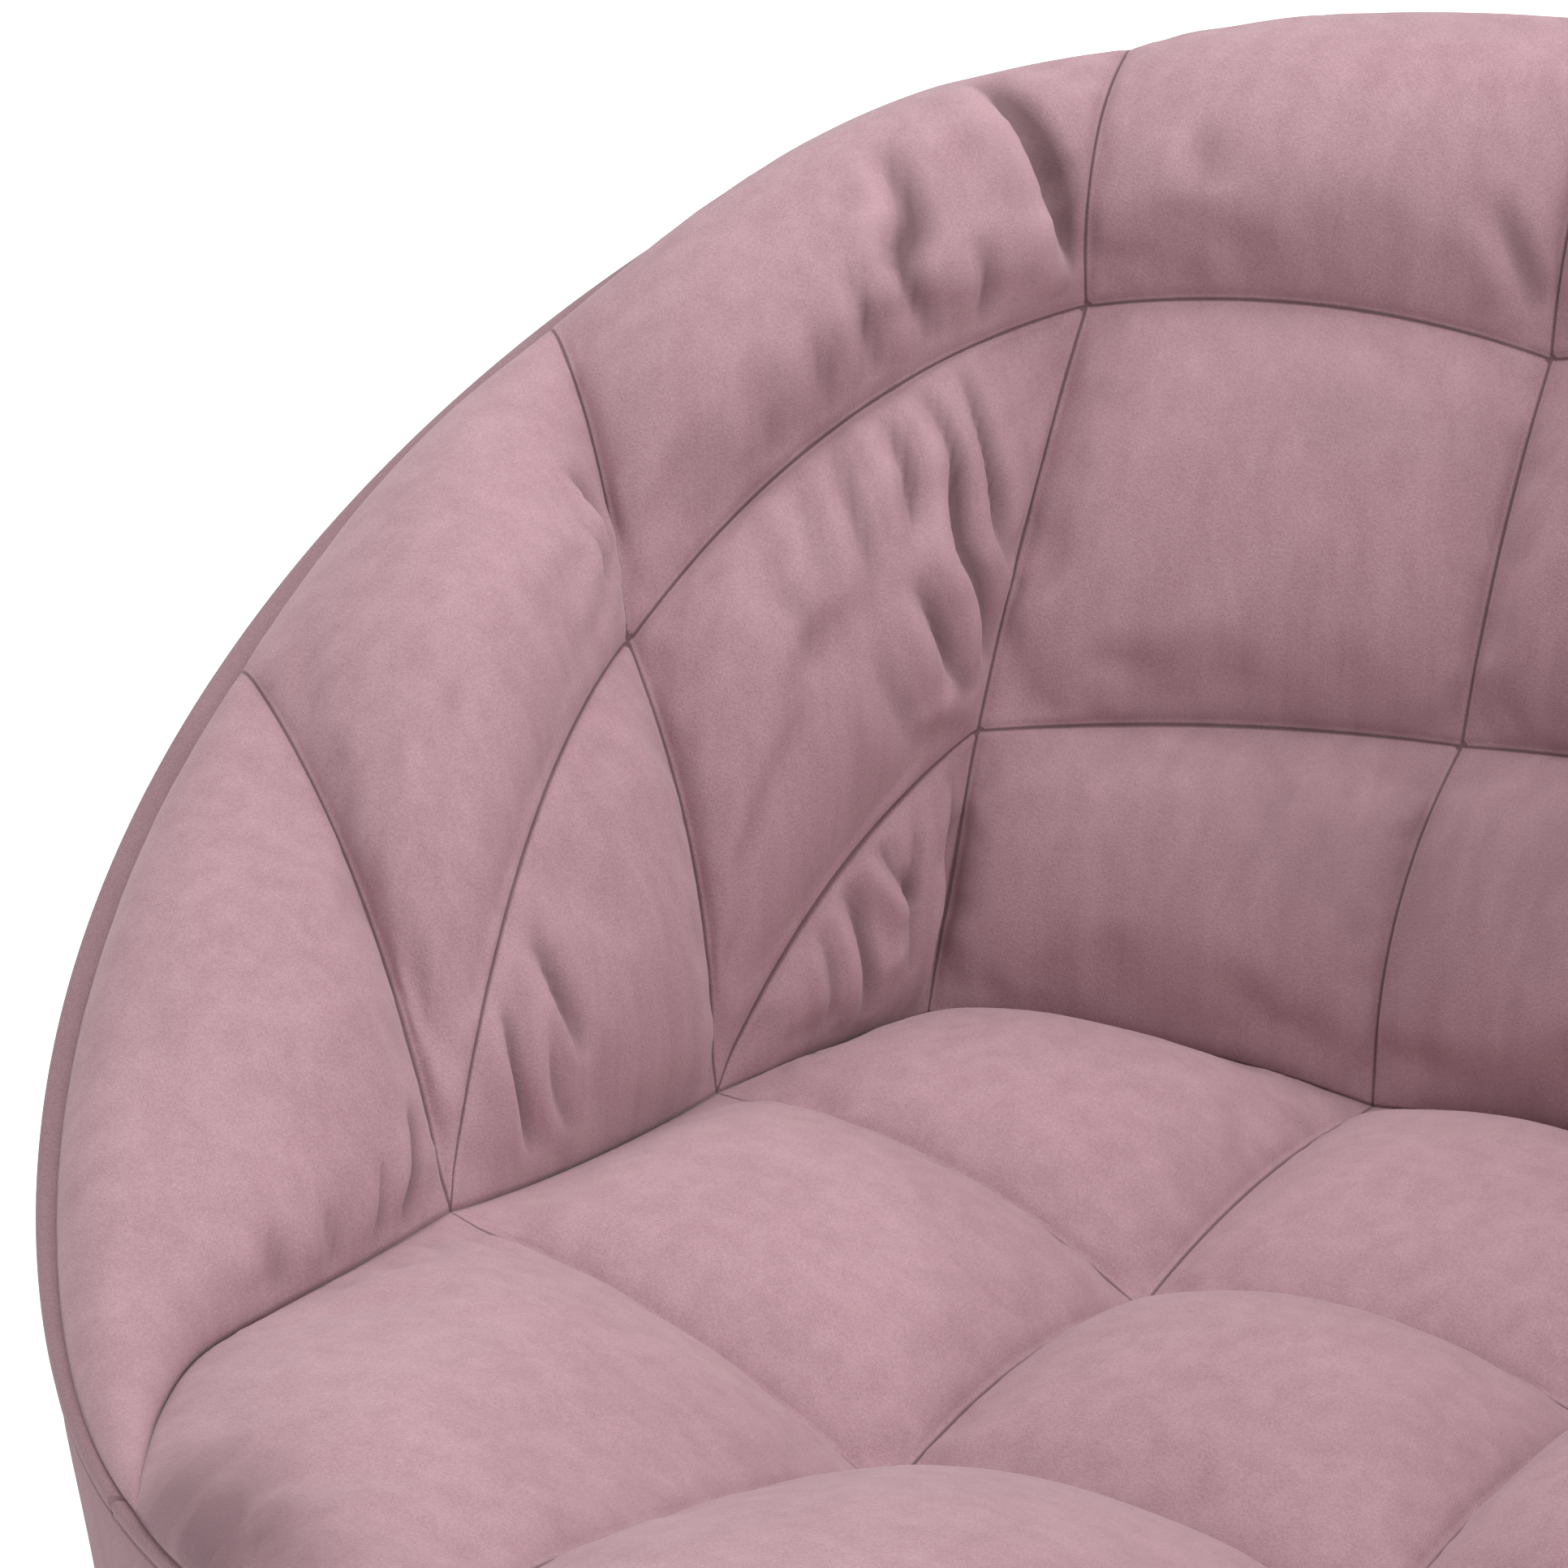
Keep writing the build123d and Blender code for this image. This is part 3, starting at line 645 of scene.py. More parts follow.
# Folds of the lining: panel, route in its own (up, back) shares, depth and width in millimetres.
arm_front = ("crease0", "rim1", "crease1")
arm_top = ("crease1", "rim1", "rim2", "high2")
arm_low = ("crease1", "high2", "crease2")
corner_top = ("high2", "rim2", "rim3", "high3")
corner_middle = ("crease2", "high2", "high3", "low3")
corner_low = ("crease2", "low3", "crease3")
back_top = ("high3", "rim3", "rim4", "high4")
back_folds = [
    (corner_top, [(0.1, 0.99), (0.25, 0.955), (0.42, 0.92), (0.6, 0.87), (0.86, 0.78)], 11.2, 7),
    (corner_top, [(0.05, 0.69), (0.3, 0.63), (0.42, 0.66), (0.7, 0.6)], 6.2, 6),
    (corner_top, [(0.05, 0.58), (0.23, 0.56), (0.42, 0.53)], 4.4, 5),
    (corner_top, [(0.04, 0.8), (0.16, 0.8), (0.32, 0.77)], 3.8, 5),
    (corner_top, [(0.04, 0.47), (0.28, 0.46)], 2.8, 5),
    (corner_top, [(0.04, 0.36), (0.18, 0.34)], 2, 6),
    (corner_middle, [(0.16, 0.97), (0.4, 0.88), (0.56, 0.8), (0.77, 0.75), (0.98, 0.66)], 7.5, 6),
    (corner_middle, [(0.6, 0.68), (0.8, 0.62), (0.97, 0.57)], 5, 5),
    (corner_middle, [(0.4, 0.96), (0.53, 0.9), (0.72, 0.83), (0.96, 0.75)], 5.6, 5),
    (corner_middle, [(0.12, 0.91), (0.34, 0.76), (0.56, 0.65)], 5.6, 6),
    (corner_middle, [(0.58, 0.54), (0.8, 0.51), (0.98, 0.48)], 3.8, 5),
    (corner_middle, [(0.66, 0.42), (0.96, 0.39)], 2.5, 6),
    (corner_middle, [(0.5, 0.4), (0.77, 0.33), (0.94, 0.3)], 2, 7),
    (corner_middle, [(0.1, 0.8), (0.3, 0.62), (0.5, 0.52)], 2.2, 8),
    (corner_low, [(0.43, 0.35), (0.54, 0.17), (0.62, 0.03)], 5, 4),
    (corner_low, [(0.08, 0.56), (0.35, 0.22), (0.5, 0.03)], 5, 5),
    (corner_low, [(0.07, 0.88), (0.49, 0.46), (0.84, 0.1)], 3.8, 4),
    (corner_low, [(0.1, 0.39), (0.3, 0.15), (0.38, 0.02)], 3.1, 4),
    (corner_low, [(0.2, 0.6), (0.45, 0.3), (0.72, 0.05)], 3.1, 4),
    (arm_low, [(0.17, 0.29), (0.27, 0.16), (0.39, 0.05)], 5, 5),
    (arm_low, [(0.04, 0.26), (0.16, 0.13), (0.26, 0.03)], 5, 4),
    (arm_low, [(0.05, 0.37), (0.14, 0.25), (0.26, 0.14)], 3.1, 4),
    (arm_front, [(0.01, 0.86), (0.08, 0.83), (0.17, 0.75)], 5, 5),
    (arm_front, [(0.01, 0.79), (0.05, 0.76), (0.13, 0.7)], 3.1, 4),
    (arm_front, [(0.01, 0.69), (0.1, 0.61)], 2.5, 5),
    (arm_front, [(0.01, 0.56), (0.1, 0.49)], 2.5, 6),
    (arm_top, [(0.22, 0.97), (0.4, 0.94), (0.55, 0.89)], 5, 4),
    (arm_top, [(0.18, 0.93), (0.32, 0.9), (0.42, 0.86)], 2.8, 4),
    (back_top, [(0.1, 0.97), (0.2, 0.92), (0.38, 0.84)], 3.8, 6),
    (back_top, [(0.3, 0.28), (0.52, 0.2)], 2, 8),
]
seat_side = ("crease0", "crease1", "tuft_front", "front1")
seat_folds = [
    (seat_side, [(0.97, 0.04), (0.93, 0.18)], 1.6, 6),
    (seat_side, [(0.9, 0.02), (0.85, 0.12)], 1.6, 6),
    (seat_side, [(0.8, 0.02), (0.76, 0.12)], 1.4, 6),
    (seat_side, [(0.69, 0.02), (0.66, 0.1)], 1.4, 6),
]

back_quilt = quilt("back_quilt", back_panels, back_middle, panel_rows, back_folds, low=395, roll=6)
seat_quilt = quilt("seat_quilt", seat_panels, seat_middle, panel_rows, seat_folds, low=345, roll=0)
for piece, nodes in (
    (back_quilt, ("arm_pad_left", "arm_pad_right", "back_pad")),
    (seat_quilt, ("seat_pad",)),
):
    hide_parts(*nodes)
    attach(piece, "chair")


# ---------------------------------------------------------------- welts and outer cover
def rim_circle(name, count, inset, lift):
    """A loop of points that follows the rim, open for editing."""
    bpy.ops.mesh.primitive_circle_add(vertices=count, radius=barrel_radius * MM)
    ring = bpy.context.active_object
    ring.name = name
    turns = np.linspace(-pi, pi, count, endpoint=False)
    set_coordinates(ring.data, np.array([rim_point(t, inset, lift) for t in turns]))
    bpy.ops.object.mode_set(mode="EDIT")
    bpy.ops.mesh.select_all(action="SELECT")
    return ring


def swept_band(name, section, count):
    """A closed band along the rim, drawn through the (outward, upward) points of its section."""
    outward, upward = section[0]
    band = rim_circle(name, count, -outward, upward)
    for (o1, u1), (o2, u2) in zip(section, section[1:]):
        bpy.ops.mesh.extrude_edges_move()
        spread = (barrel_radius + o2) / (barrel_radius + o1)
        bpy.ops.transform.resize(value=(spread, spread, 1), center_override=(0, 0, 0))
        bpy.ops.transform.translate(value=(0, 0, (u2 - u1) * MM))
    bpy.ops.mesh.select_all(action="DESELECT")
    bpy.ops.mesh.select_non_manifold()
    bpy.ops.mesh.bridge_edge_loops()
    bpy.ops.mesh.select_all(action="SELECT")
    bpy.ops.mesh.normals_make_consistent(inside=False)
    return band


def cut_at(thing, y, keep_front):
    """Cuts a closed piece square across, closes the cut, and leaves edit mode."""
    bpy.ops.mesh.select_all(action="SELECT")
    bpy.ops.mesh.bisect(
        plane_co=(0, y * MM, 0),
        plane_no=(0, 1, 0),
        use_fill=True,
        clear_outer=keep_front,
        clear_inner=not keep_front,
    )
    bpy.ops.object.mode_set(mode="OBJECT")
    only(thing)


def finished(piece, nodes=(), angle=60):
    """Shades a piece, hides the nodes it stands for, and gives it its body."""
    only(piece)
    bpy.ops.object.shade_smooth_by_angle(angle=radians(angle))
    if nodes:
        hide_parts(*nodes)
    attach(piece, "chair")


band_section = [
    (-16, -6),
    (-14, -2.5),
    (-10, -1.2),
    (-5, -0.7),
    (-1, -0.9),
    (0.9, -1.6),
    (1.9, -3.0),
    (2.2, -5.2),
    (1.7, -7.2),
    (0.3, -8.4),
    (1.1, -9.2),
    (1.2, -10.6),
    (0.2, -11.8),
    (-3, -12),
    (-9, -11),
]
band_gap = 1.0
band_points = 720

edge_band = swept_band("edge_band_fabric", band_section, band_points)
cut_at(edge_band, band_split + band_gap, keep_front=False)
finished(edge_band, ["edge_band"])

front_band = swept_band("front_band_fabric", band_section, band_points)
cut_at(front_band, band_split - band_gap, keep_front=True)
finished(front_band, ["front_band"])


thread_sides = 6
thread_rings = ((0, 0.3), (0.25, 1), (0.75, 1), (1, 0.3))
thread_bulge = 0.4


def stitch_line(name, path, length, gap, width):
    """Short thread stitches laid end to end along a line."""
    distance = np.concatenate([[0], np.cumsum(np.linalg.norm(np.diff(path, axis=0), axis=1))])
    starts = np.arange(0, distance[-1] - length, length + gap)
    points, faces = [], []
    for number, start in enumerate(starts):
        head, tail = (
            np.array([np.interp(d, distance, path[:, axis]) for axis in range(3)])
            for d in (start, start + length)
        )
        along = (tail - head) / length
        outward = np.array([head[0], head[1], 0.0])
        outward /= np.linalg.norm(outward)
        side = np.cross(outward, along)
        for t, size in thread_rings:
            middle = head + along * length * t + outward * (width * thread_bulge * sin(pi * t))
            for turn in range(thread_sides):
                angle = 2 * pi * turn / thread_sides
                points.append(middle + (side * cos(angle) + outward * sin(angle)) * width / 2 * size)
        base = number * len(thread_rings) * thread_sides
        last = base + (len(thread_rings) - 1) * thread_sides
        for ring in range(base, last, thread_sides):
            for turn in range(thread_sides):
                a, b = ring + turn, ring + (turn + 1) % thread_sides
                faces.append((a, b, b + thread_sides, a + thread_sides))
        faces.append(tuple(range(base + thread_sides - 1, base - 1, -1)))
        faces.append(tuple(range(last, last + thread_sides)))
    piece = new_object(name, np.array(points), faces)
    only(piece)
    bpy.ops.object.mode_set(mode="EDIT")
    bpy.ops.mesh.select_all(action="SELECT")
    bpy.ops.mesh.normals_make_consistent(inside=False)
    bpy.ops.object.mode_set(mode="OBJECT")
    finished(piece)
    return piece


stitch_length = 3.4
stitch_gap = 0.9
thread_width = 0.8
stitch_inset = 0.1
stitch_drop = -8.4
rim_turns = np.linspace(-pi, pi, 1441)
band_stitch_path = np.array([rim_point(t, stitch_inset, stitch_drop) for t in rim_turns])
band_stitches = stitch_line(
    "band_stitches", band_stitch_path, stitch_length, stitch_gap, thread_width
)

# Outer cover: a tube of fabric from the foot to under the band, with upright seams and a hem.
cover_columns = 640
cover_rows = 46
cover_seam_turns = [2 * pi * column / cover_columns for column in (-228, -92, 92, 228)]
cover_thickness = 3
cover_proud = 0.4
cover_below_rim = 9
foot_part = 26
foot_share = 0.15
seam_dip_depth = 2.2
seam_dip_width = 4.5
pucker_height = 0.45
pucker_from_seam = 22
pucker_width = 26
hem_height = 20
hem_dip_depth = 0.9
hem_dip_width = 2.2
hem_thread_proud = 0.3
curl_depth = 3
curl_height = 6
bpy.ops.object.select_all(action="DESELECT")
bpy.ops.mesh.primitive_circle_add(vertices=cover_columns, radius=barrel_radius * MM)
outer_cover = bpy.context.active_object
outer_cover.name = "outer_cover_fabric"
bpy.ops.object.mode_set(mode="EDIT")
bpy.ops.mesh.select_all(action="SELECT")
for _ in range(cover_rows):
    bpy.ops.mesh.extrude_edges_move()
    bpy.ops.transform.translate(value=(0, 0, MM))
bpy.ops.mesh.select_all(action="SELECT")
bpy.ops.mesh.normals_make_consistent(inside=False)
bpy.ops.object.mode_set(mode="OBJECT")

flat = coordinates(outer_cover.data)
turns = np.arctan2(flat[:, 0], flat[:, 1])
share = flat[:, 2] / cover_rows
top = np.interp(turns, rim_turns, [rim_point(t, 0)[2] for t in rim_turns]) - cover_below_rim
foot_top = foot_height + foot_part
cover_z = np.where(
    share < foot_share,
    foot_height + foot_part * share / foot_share,
    foot_top + (top - foot_top) * (share - foot_share) / (1 - foot_share),
)
seam_dip = np.zeros(len(flat))
pucker = np.zeros(len(flat))
for seam_turn in cover_seam_turns:
    away = (turns - seam_turn) * barrel_radius
    seam_dip += np.exp(-((away / seam_dip_width) ** 2))
    wave = np.sin(cover_z / 17 + 3 * np.sin(cover_z / 71) + seam_turn)
    pucker += np.exp(-(((np.abs(away) - pucker_from_seam) / pucker_width) ** 2)) * wave
hem_dip = np.exp(-(((cover_z - foot_height - hem_height) / hem_dip_width) ** 2))
curl = curl_depth * np.clip(1 - (cover_z - foot_height) / curl_height, 0, 1) ** 2
cover_r = side_radius(cover_z) + cover_proud - curl
cover_r += pucker_height * pucker - seam_dip_depth * seam_dip - hem_dip_depth * hem_dip
set_coordinates(
    outer_cover.data, np.stack([cover_r * np.sin(turns), cover_r * np.cos(turns), cover_z], axis=1)
)
spacing = 2 * pi / cover_columns
nearness = np.max([np.clip(1 - np.abs(turns - t) / spacing, 0, 1) for t in cover_seam_turns], axis=0)
stored = outer_cover.data.attributes.new("cover_seam", "FLOAT", "POINT")
stored.data.foreach_set("value", nearness.astype(np.float32))
only(outer_cover)
solid = outer_cover.modifiers.new("cloth_thickness", "SOLIDIFY")
solid.thickness = cover_thickness * MM
solid.offset = -1
bpy.ops.object.modifier_apply(modifier="cloth_thickness")
finished(outer_cover, ["outer_cover"])

hem_z = foot_height + hem_height
hem_radius = float(side_radius(hem_z)) + hem_thread_proud
hem_path = np.array([(hem_radius * sin(t), hem_radius * cos(t), hem_z) for t in rim_turns])
hem_stitches = stitch_line("hem_stitches", hem_path, stitch_length, stitch_gap, thread_width)


# ---------------------------------------------------------------- materials
def shader(tree, kind, **values):
    """Adds a node and sets its properties and input values."""
    made = tree.nodes.new(kind)
    for key, value in values.items():
        if key in made.inputs:
            made.inputs[key].default_value = value
        elif hasattr(made, key):
            setattr(made, key, value)
        else:
            made.inputs[key.replace("_", " ").title()].default_value = value
    return made


def link(tree, start, end):
    """Joins two sockets."""
    tree.links.new(start, end)


def group(name, inputs, outputs):
    """A shader group with named float or colour sockets."""
    tree = bpy.data.node_groups.new(name, "ShaderNodeTree")
    for label, kind, value in inputs:
        socket = tree.interface.new_socket(name=label, in_out="INPUT", socket_type=kind)
        socket.default_value = value
    for label, kind in outputs:
        tree.interface.new_socket(name=label, in_out="OUTPUT", socket_type=kind)
    return tree, tree.nodes.new("NodeGroupInput"), tree.nodes.new("NodeGroupOutput")


def noise(tree, vector, scale, detail=2.0, roughness=0.5, distortion=0.0):
    """A noise texture on a vector; scale is in repeats per metre."""
    made = shader(tree, "ShaderNodeTexNoise", Scale=scale, Detail=detail, Roughness=roughness)
    made.inputs["Distortion"].default_value = distortion
    link(tree, vector, made.inputs["Vector"])
    return made.outputs["Fac"]


def stretched(tree, vector, scale):
    """The vector scaled unevenly."""
    made = shader(tree, "ShaderNodeMapping")
    made.inputs["Scale"].default_value = scale
    link(tree, vector, made.inputs["Vector"])
    return made.outputs["Vector"]


def ranged(tree, value, low, high, to_low=0.0, to_high=1.0):
    """Maps a value's range to another, clamped."""
    made = shader(tree, "ShaderNodeMapRange")
    for label, number in (("From Min", low), ("From Max", high), ("To Min", to_low), ("To Max", to_high)):
        made.inputs[label].default_value = number
    link(tree, value, made.inputs["Value"])
    return made.outputs["Result"]


def maths(tree, operation, *values):
    """A math node on sockets or numbers."""
    made = shader(tree, "ShaderNodeMath", operation=operation)
    for number, value in enumerate(values):
        if isinstance(value, (int, float)):
            made.inputs[number].default_value = value
        else:
            link(tree, value, made.inputs[number])
    return made.outputs[0]


def mixed(tree, amount, first, second):
    """Mixes two colours, given as sockets or as values, by a socket or a number."""
    made = shader(tree, "ShaderNodeMix", data_type="RGBA")
    for socket, value in ((made.inputs[0], amount), (made.inputs[6], first), (made.inputs[7], second)):
        if isinstance(value, (int, float)):
            socket.default_value = value
        elif isinstance(value, tuple):
            socket.default_value = (*value, 1)
        else:
            link(tree, value, socket)
    return made.outputs[2]


def pile_group():
    """Velvet pile: fine grain, patches of nap lying different ways, and faint upright streaks."""
    tree, start, end = group(
        "pile",
        [("Grain", "NodeSocketFloat", 1150), ("Patch", "NodeSocketFloat", 7)],
        [("Grain", "NodeSocketFloat"), ("Nap", "NodeSocketFloat"), ("Streak", "NodeSocketFloat")],
    )
    where = shader(tree, "ShaderNodeTexCoord").outputs["Object"]
    grain = shader(tree, "ShaderNodeTexNoise", Detail=3.0, Roughness=0.65)
    link(tree, where, grain.inputs["Vector"])
    link(tree, start.outputs["Grain"], grain.inputs["Scale"])
    nap = shader(tree, "ShaderNodeTexNoise", Detail=3.0, Roughness=0.45, Distortion=0.8)
    link(tree, where, nap.inputs["Vector"])
    link(tree, start.outputs["Patch"], nap.inputs["Scale"])
    streak = noise(tree, stretched(tree, where, (1, 1, 0.06)), 90, 4.0, 0.6)
    link(tree, grain.outputs["Fac"], end.inputs["Grain"])
    link(tree, nap.outputs["Fac"], end.inputs["Nap"])
    link(tree, streak, end.inputs["Streak"])
    return tree


pile = pile_group()


def principled(name, **values):
    """A material with its shader set up; returns its tree and shader."""
    made = bpy.data.materials.new(name)
    made.use_nodes = True
    bsdf = made.node_tree.nodes["Principled BSDF"]
    for key, value in values.items():
        bsdf.inputs[key.replace("_", " ")].default_value = value
    return made, made.node_tree, bsdf


def scaled(colour, factor):
    """A colour made lighter or darker."""
    return tuple(factor * c for c in colour)


def attribute(tree, name):
    """A value stored on the mesh."""
    return shader(tree, "ShaderNodeAttribute", attribute_name=name).outputs["Fac"]


def quilted(tree, colour, dark, light):
    """The colour of the lining: painted shade beside its seams and in the valleys of folds, a painted
    highlight on their ridges, brushed pile and painted shade in patches, and dark seam lines.
    """
    # Painted shade beside the seams and pad edges.
    shade = maths(tree, "MULTIPLY", attribute(tree, "valley"), 0.13)
    colour = mixed(tree, shade, colour, scaled(dark, 0.7))
    where = shader(tree, "ShaderNodeTexCoord").outputs["Object"]
    strokes = noise(tree, stretched(tree, where, (1, 0.35, 0.35)), 48, 4.0, 0.55, 0.4)
    strokes = ranged(tree, strokes, 0.32, 0.68, 0.55, 1.05)
    # Brushed pile and painted shade: colour darkened in the listed patches, broken up by stretched noise.
    shade = maths(tree, "MULTIPLY", attribute(tree, "nap_and_shade"), strokes)
    colour = mixed(tree, ranged(tree, shade, 0.05, 1.0, 0, 0.9), colour, scaled(dark, 0.6))
    # Painted shade darkens the fold valleys; the fold ridges get a painted highlight, partly also nap brushed
    # lighter there.
    fold = attribute(tree, "fold")
    colour = mixed(tree, ranged(tree, fold, -0.4, -5, 0, 0.8), colour, scaled(dark, 0.42))
    colour = mixed(tree, ranged(tree, fold, 0.4, 3, 0, 0.4), colour, scaled(light, 1.15))
    shade = ranged(tree, attribute(tree, "seam"), 0.25, seam_line_width, 0.72, 0)
    return mixed(tree, shade, colour, scaled(dark, 0.25))


def velvet(name, dark, light, streaks, sheen, seams):
    """Short-pile velvet: fine grain, streaks and patches of nap between a dark and a light colour."""
    made, tree, bsdf = principled(
        name,
        Roughness=0.82,
        Specular_IOR_Level=0.12,
        Sheen_Weight=sheen,
        Sheen_Roughness=0.38,
        Sheen_Tint=(1.0, 0.86, 0.89, 1.0),
    )
    nap = tree.nodes.new("ShaderNodeGroup")
    nap.node_tree = pile
    patches = ranged(tree, nap.outputs["Nap"], 0.3, 0.7)
    grain = ranged(tree, nap.outputs["Grain"], 0.36, 0.64)
    streak = ranged(tree, nap.outputs["Streak"], 0.35, 0.65)
    amount = maths(tree, "MULTIPLY", patches, 0.3)
    amount = maths(tree, "MULTIPLY_ADD", grain, 0.5, amount)
    amount = maths(tree, "MULTIPLY_ADD", streak, streaks, amount)
    colour = mixed(tree, amount, dark, light)
    if seams:
        colour = quilted(tree, colour, dark, light)
    else:
        shade = ranged(tree, attribute(tree, "cover_seam"), 0.75, 1, 0, 0.65)
        colour = mixed(tree, shade, colour, scaled(dark, 0.3))
    link(tree, colour, bsdf.inputs["Base Color"])
    bump = shader(tree, "ShaderNodeBump", Strength=0.5, Distance=0.0006)
    link(tree, nap.outputs["Grain"], bump.inputs["Height"])
    link(tree, bump.outputs["Normal"], bsdf.inputs["Normal"])
    link(tree, ranged(tree, nap.outputs["Nap"], 0.3, 0.7, 0.78, 0.92), bsdf.inputs["Roughness"])
    return made


velvet_dark = (0.335, 0.195, 0.225)
velvet_light = (0.49, 0.315, 0.35)


def painted(name, dark, light, roughness):
    """Powder-coated steel: fine orange peel and faint rubbed patches."""
    made, tree, bsdf = principled(name, Metallic=0.0, Specular_IOR_Level=0.45)
    where = shader(tree, "ShaderNodeTexCoord").outputs["Object"]
    rub = ranged(tree, noise(tree, where, 14, 5.0, 0.6), 0.42, 0.68)
    peel = noise(tree, where, 900, 2.0, 0.5)
    link(tree, mixed(tree, rub, dark, light), bsdf.inputs["Base Color"])
    link(tree, ranged(tree, rub, 0, 1, roughness, roughness + 0.14), bsdf.inputs["Roughness"])
    bump = shader(tree, "ShaderNodeBump", Strength=0.35, Distance=0.0003)
    link(tree, peel, bump.inputs["Height"])
    link(tree, bump.outputs["Normal"], bsdf.inputs["Normal"])
    return made


def plated(name, dark, light, roughness, grain_scale):
    """Plated or oiled steel: drawn grain and cloudy patches."""
    made, tree, bsdf = principled(name, Metallic=1.0)
    where = shader(tree, "ShaderNodeTexCoord").outputs["Object"]
    cloud = ranged(tree, noise(tree, where, 26, 4.0, 0.6), 0.35, 0.65)
    grain = noise(tree, stretched(tree, where, (1, 0.08, 1)), grain_scale, 3.0, 0.6)
    link(tree, mixed(tree, cloud, dark, light), bsdf.inputs["Base Color"])
    link(tree, ranged(tree, grain, 0.3, 0.7, roughness, roughness + 0.18), bsdf.inputs["Roughness"])
    bump = shader(tree, "ShaderNodeBump", Strength=0.2, Distance=0.0002)
    link(tree, grain, bump.inputs["Height"])
    link(tree, bump.outputs["Normal"], bsdf.inputs["Normal"])
    return made


def plywood_material():
    """Birch plywood: long figure on its faces and thin dark glue lines on its edges."""
    made, tree, bsdf = principled("plywood", Specular_IOR_Level=0.3)
    where = shader(tree, "ShaderNodeTexCoord").outputs["Object"]
    figure = noise(tree, stretched(tree, where, (1, 0.12, 1)), 34, 6.0, 0.55, 1.2)
    pores = noise(tree, stretched(tree, where, (1, 0.05, 1)), 700, 2.0, 0.5)
    plies = shader(tree, "ShaderNodeTexWave", bands_direction="Z", Scale=110.0, Distortion=0.6)
    link(tree, where, plies.inputs["Vector"])
    colour = mixed(tree, ranged(tree, figure, 0.3, 0.7), (0.47, 0.31, 0.17), (0.66, 0.49, 0.31))
    edge = shader(tree, "ShaderNodeNewGeometry")
    upright = shader(tree, "ShaderNodeSeparateXYZ")
    link(tree, edge.outputs["True Normal"], upright.inputs["Vector"])
    side = maths(tree, "LESS_THAN", maths(tree, "ABSOLUTE", upright.outputs["Z"]), 0.5)
    glue = maths(tree, "MULTIPLY", ranged(tree, plies.outputs["Fac"], 0.0, 0.35, 1.0, 0.0), side)
    colour = mixed(tree, maths(tree, "MULTIPLY", glue, 0.5), colour, (0.25, 0.14, 0.07))
    link(tree, colour, bsdf.inputs["Base Color"])
    link(tree, ranged(tree, pores, 0.3, 0.7, 0.55, 0.75), bsdf.inputs["Roughness"])
    bump = shader(tree, "ShaderNodeBump", Strength=0.3, Distance=0.0003)
    link(tree, pores, bump.inputs["Height"])
    link(tree, bump.outputs["Normal"], bsdf.inputs["Normal"])
    return made


def fibrous(name, dark, light, scale, strength):
    """Matted or non-woven fibres."""
    made, tree, bsdf = principled(name, Roughness=0.95, Specular_IOR_Level=0.1, Sheen_Weight=0.15)
    where = shader(tree, "ShaderNodeTexCoord").outputs["Object"]
    fibres = noise(tree, stretched(tree, where, (1, 0.25, 1)), scale, 5.0, 0.7, 1.5)
    link(tree, mixed(tree, ranged(tree, fibres, 0.3, 0.7), dark, light), bsdf.inputs["Base Color"])
    bump = shader(tree, "ShaderNodeBump", Strength=strength, Distance=0.0006)
    link(tree, fibres, bump.inputs["Height"])
    link(tree, bump.outputs["Normal"], bsdf.inputs["Normal"])
    return made


# Painted shade: the outer cover's and the band's velvet are darker copies of the lining's velvet.
outer_shaded_dark, outer_shaded_light = scaled(velvet_dark, 0.86), scaled(velvet_light, 0.84)
band_shaded_dark, band_shaded_light = scaled(velvet_dark, 0.76), scaled(velvet_light, 0.76)
finishes = {
    "velvet": velvet("velvet", velvet_dark, velvet_light, 0.3, 0.42, seams=True),
    "velvet_outer": velvet("velvet_outer", outer_shaded_dark, outer_shaded_light, 0.25, 0.16, seams=False),
    "velvet_band": velvet("velvet_band", band_shaded_dark, band_shaded_light, 0.1, 0.3, seams=False),
    "plywood": plywood_material(),
    "black_steel": painted("black_steel", (0.012, 0.012, 0.013), (0.035, 0.035, 0.037), 0.42),
    "zinc_steel": plated("zinc_steel", (0.50, 0.50, 0.49), (0.68, 0.68, 0.66), 0.26, 600),
    "spring_wire": plated("spring_wire", (0.16, 0.16, 0.17), (0.30, 0.29, 0.28), 0.34, 900),
    "nylon": painted("nylon", (0.018, 0.018, 0.019), (0.04, 0.04, 0.042), 0.5),
    "felt": fibrous("felt", (0.20, 0.19, 0.18), (0.36, 0.35, 0.33), 420, 0.8),
    "dust_cloth": fibrous("dust_cloth", (0.012, 0.012, 0.013), (0.035, 0.035, 0.037), 800, 0.5),
}

for row in frame["record"]["subparts"]:
    node = frame["nodes"][row["node"]]
    for place_in_list in node.material_slots:
        place_in_list.material = finishes[row["material_slot"]]

for piece, slot in (
    (back_quilt, "velvet"),
    (seat_quilt, "velvet"),
    (edge_band, "velvet_band"),
    (front_band, "velvet_band"),
    (band_stitches, "velvet_band"),
    (outer_cover, "velvet_outer"),
    (hem_stitches, "velvet_outer"),
):
    piece.data.materials.clear()
    piece.data.materials.append(finishes[slot])

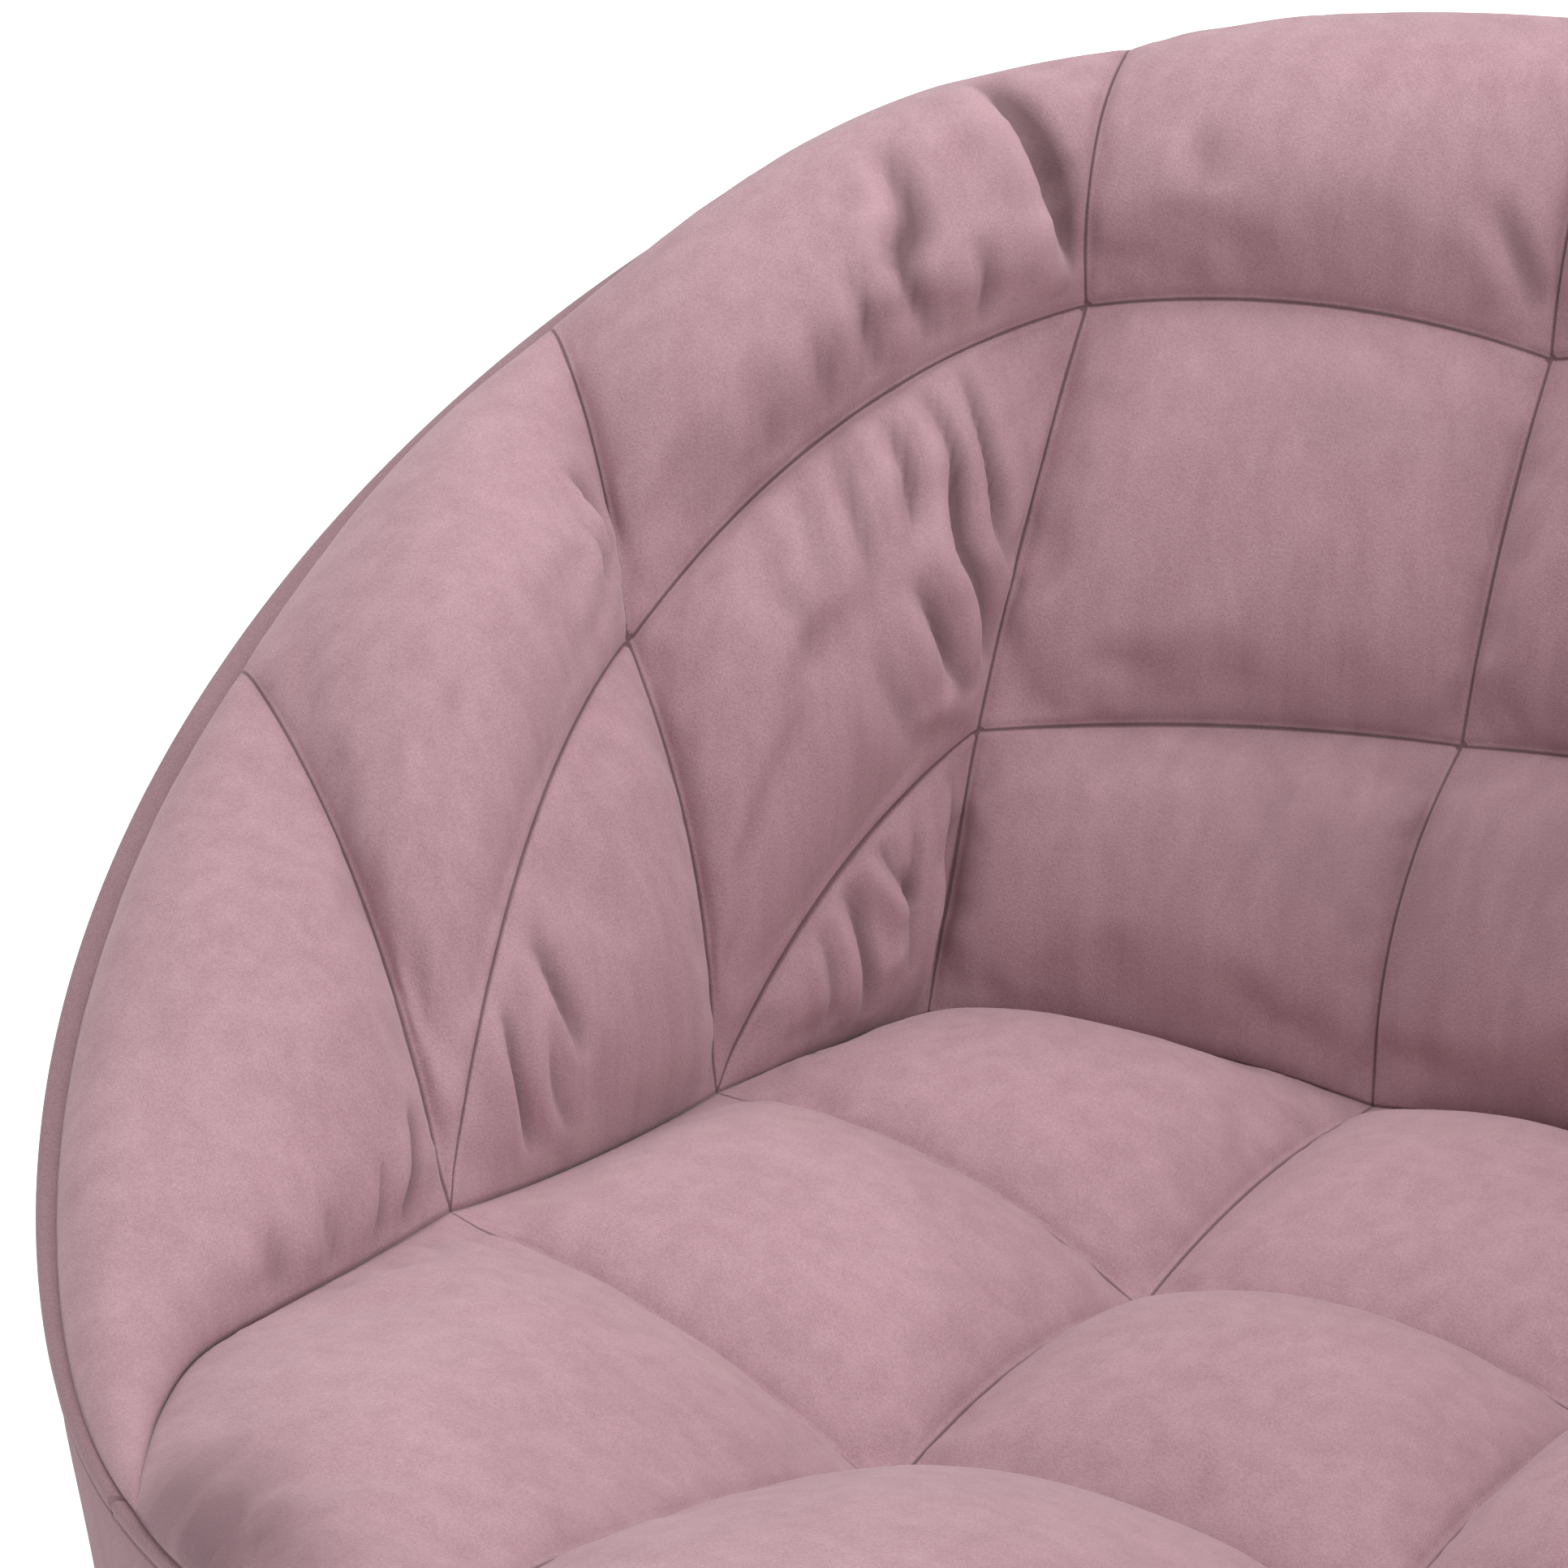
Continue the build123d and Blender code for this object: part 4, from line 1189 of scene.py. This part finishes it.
# ---------------------------------------------------------------- floor, light, camera
floor_size = 14
floor_glow = 0.14
white_from, white_to = 0.9, 3.2
near_white, far_white = 0.2, 0.9
bpy.ops.object.select_all(action="DESELECT")
bpy.ops.mesh.primitive_plane_add(size=floor_size, location=(0, 0, 0))
floor = bpy.context.active_object
floor.name = "studio_floor"
floor_material, floor_tree, floor_bsdf = principled("floor_paint", Roughness=0.6, Specular_IOR_Level=0.2)
floor_where = shader(floor_tree, "ShaderNodeTexCoord").outputs["Object"]
floor_noise = ranged(floor_tree, noise(floor_tree, floor_where, 3, 4.0), 0.3, 0.7)
floor_colour = mixed(floor_tree, floor_noise, (0.93, 0.93, 0.93), (0.96, 0.96, 0.96))
link(floor_tree, floor_colour, floor_bsdf.inputs["Base Color"])
floor_bsdf.inputs["Emission Color"].default_value = (1, 1, 1, 1)
ray = shader(floor_tree, "ShaderNodeLightPath").outputs["Is Camera Ray"]
away = shader(floor_tree, "ShaderNodeVectorMath", operation="LENGTH")
link(floor_tree, floor_where, away.inputs[0])
whiter = ranged(floor_tree, away.outputs["Value"], white_from, white_to, near_white, far_white)
glow = maths(floor_tree, "MULTIPLY", ray, whiter)
link(floor_tree, maths(floor_tree, "ADD", glow, floor_glow), floor_bsdf.inputs["Emission Strength"])
floor.data.materials.append(floor_material)

world_light = 0.62
backdrop_extra = 0.5
world = bpy.data.worlds.new("studio")
world.use_nodes = True
world.node_tree.nodes["Background"].inputs["Color"].default_value = (1.0, 0.985, 0.98, 1)
ray = shader(world.node_tree, "ShaderNodeLightPath").outputs["Is Camera Ray"]
strength = maths(world.node_tree, "MULTIPLY_ADD", ray, backdrop_extra, world_light)
link(world.node_tree, strength, world.node_tree.nodes["Background"].inputs["Strength"])
bpy.context.scene.world = world


def soft_light(name, place, aim, size, power):
    """A large area light that faces a point."""
    lamp = bpy.data.lights.new(name, "AREA")
    lamp.size = size
    lamp.energy = power
    thing = bpy.data.objects.new(name, lamp)
    thing.location = place
    thing.rotation_euler = (Vector(aim) - Vector(place)).to_track_quat("-Z", "Y").to_euler()
    bpy.context.scene.collection.objects.link(thing)


seat_middle_point = (0, 0, 0.45)
soft_light("overhead", (-0.1, 0.1, 3.0), seat_middle_point, 2.4, 46)
soft_light("right_key", (2.5, -0.1, 2.1), seat_middle_point, 1.8, 30)
soft_light("front_fill", (0.6, -3.2, 1.6), seat_middle_point, 1.8, 3)

view_azimuth = radians(32.33)
view_elevation = radians(20.4)
view_distance = 2.101
view_target = Vector((-0.170, -0.063, 0.596))
camera_data = bpy.data.cameras.new("camera")
camera_data.lens = 143.1
camera_data.sensor_width = 36
camera = bpy.data.objects.new("camera", camera_data)
offset = Vector(
    (
        sin(view_azimuth) * cos(view_elevation),
        -cos(view_azimuth) * cos(view_elevation),
        sin(view_elevation),
    )
)
camera.location = view_target + offset * view_distance
camera.rotation_euler = (-offset).to_track_quat("-Z", "Y").to_euler()
bpy.context.scene.collection.objects.link(camera)
bpy.context.scene.camera = camera
bpy.context.scene.view_settings.view_transform = "Standard"
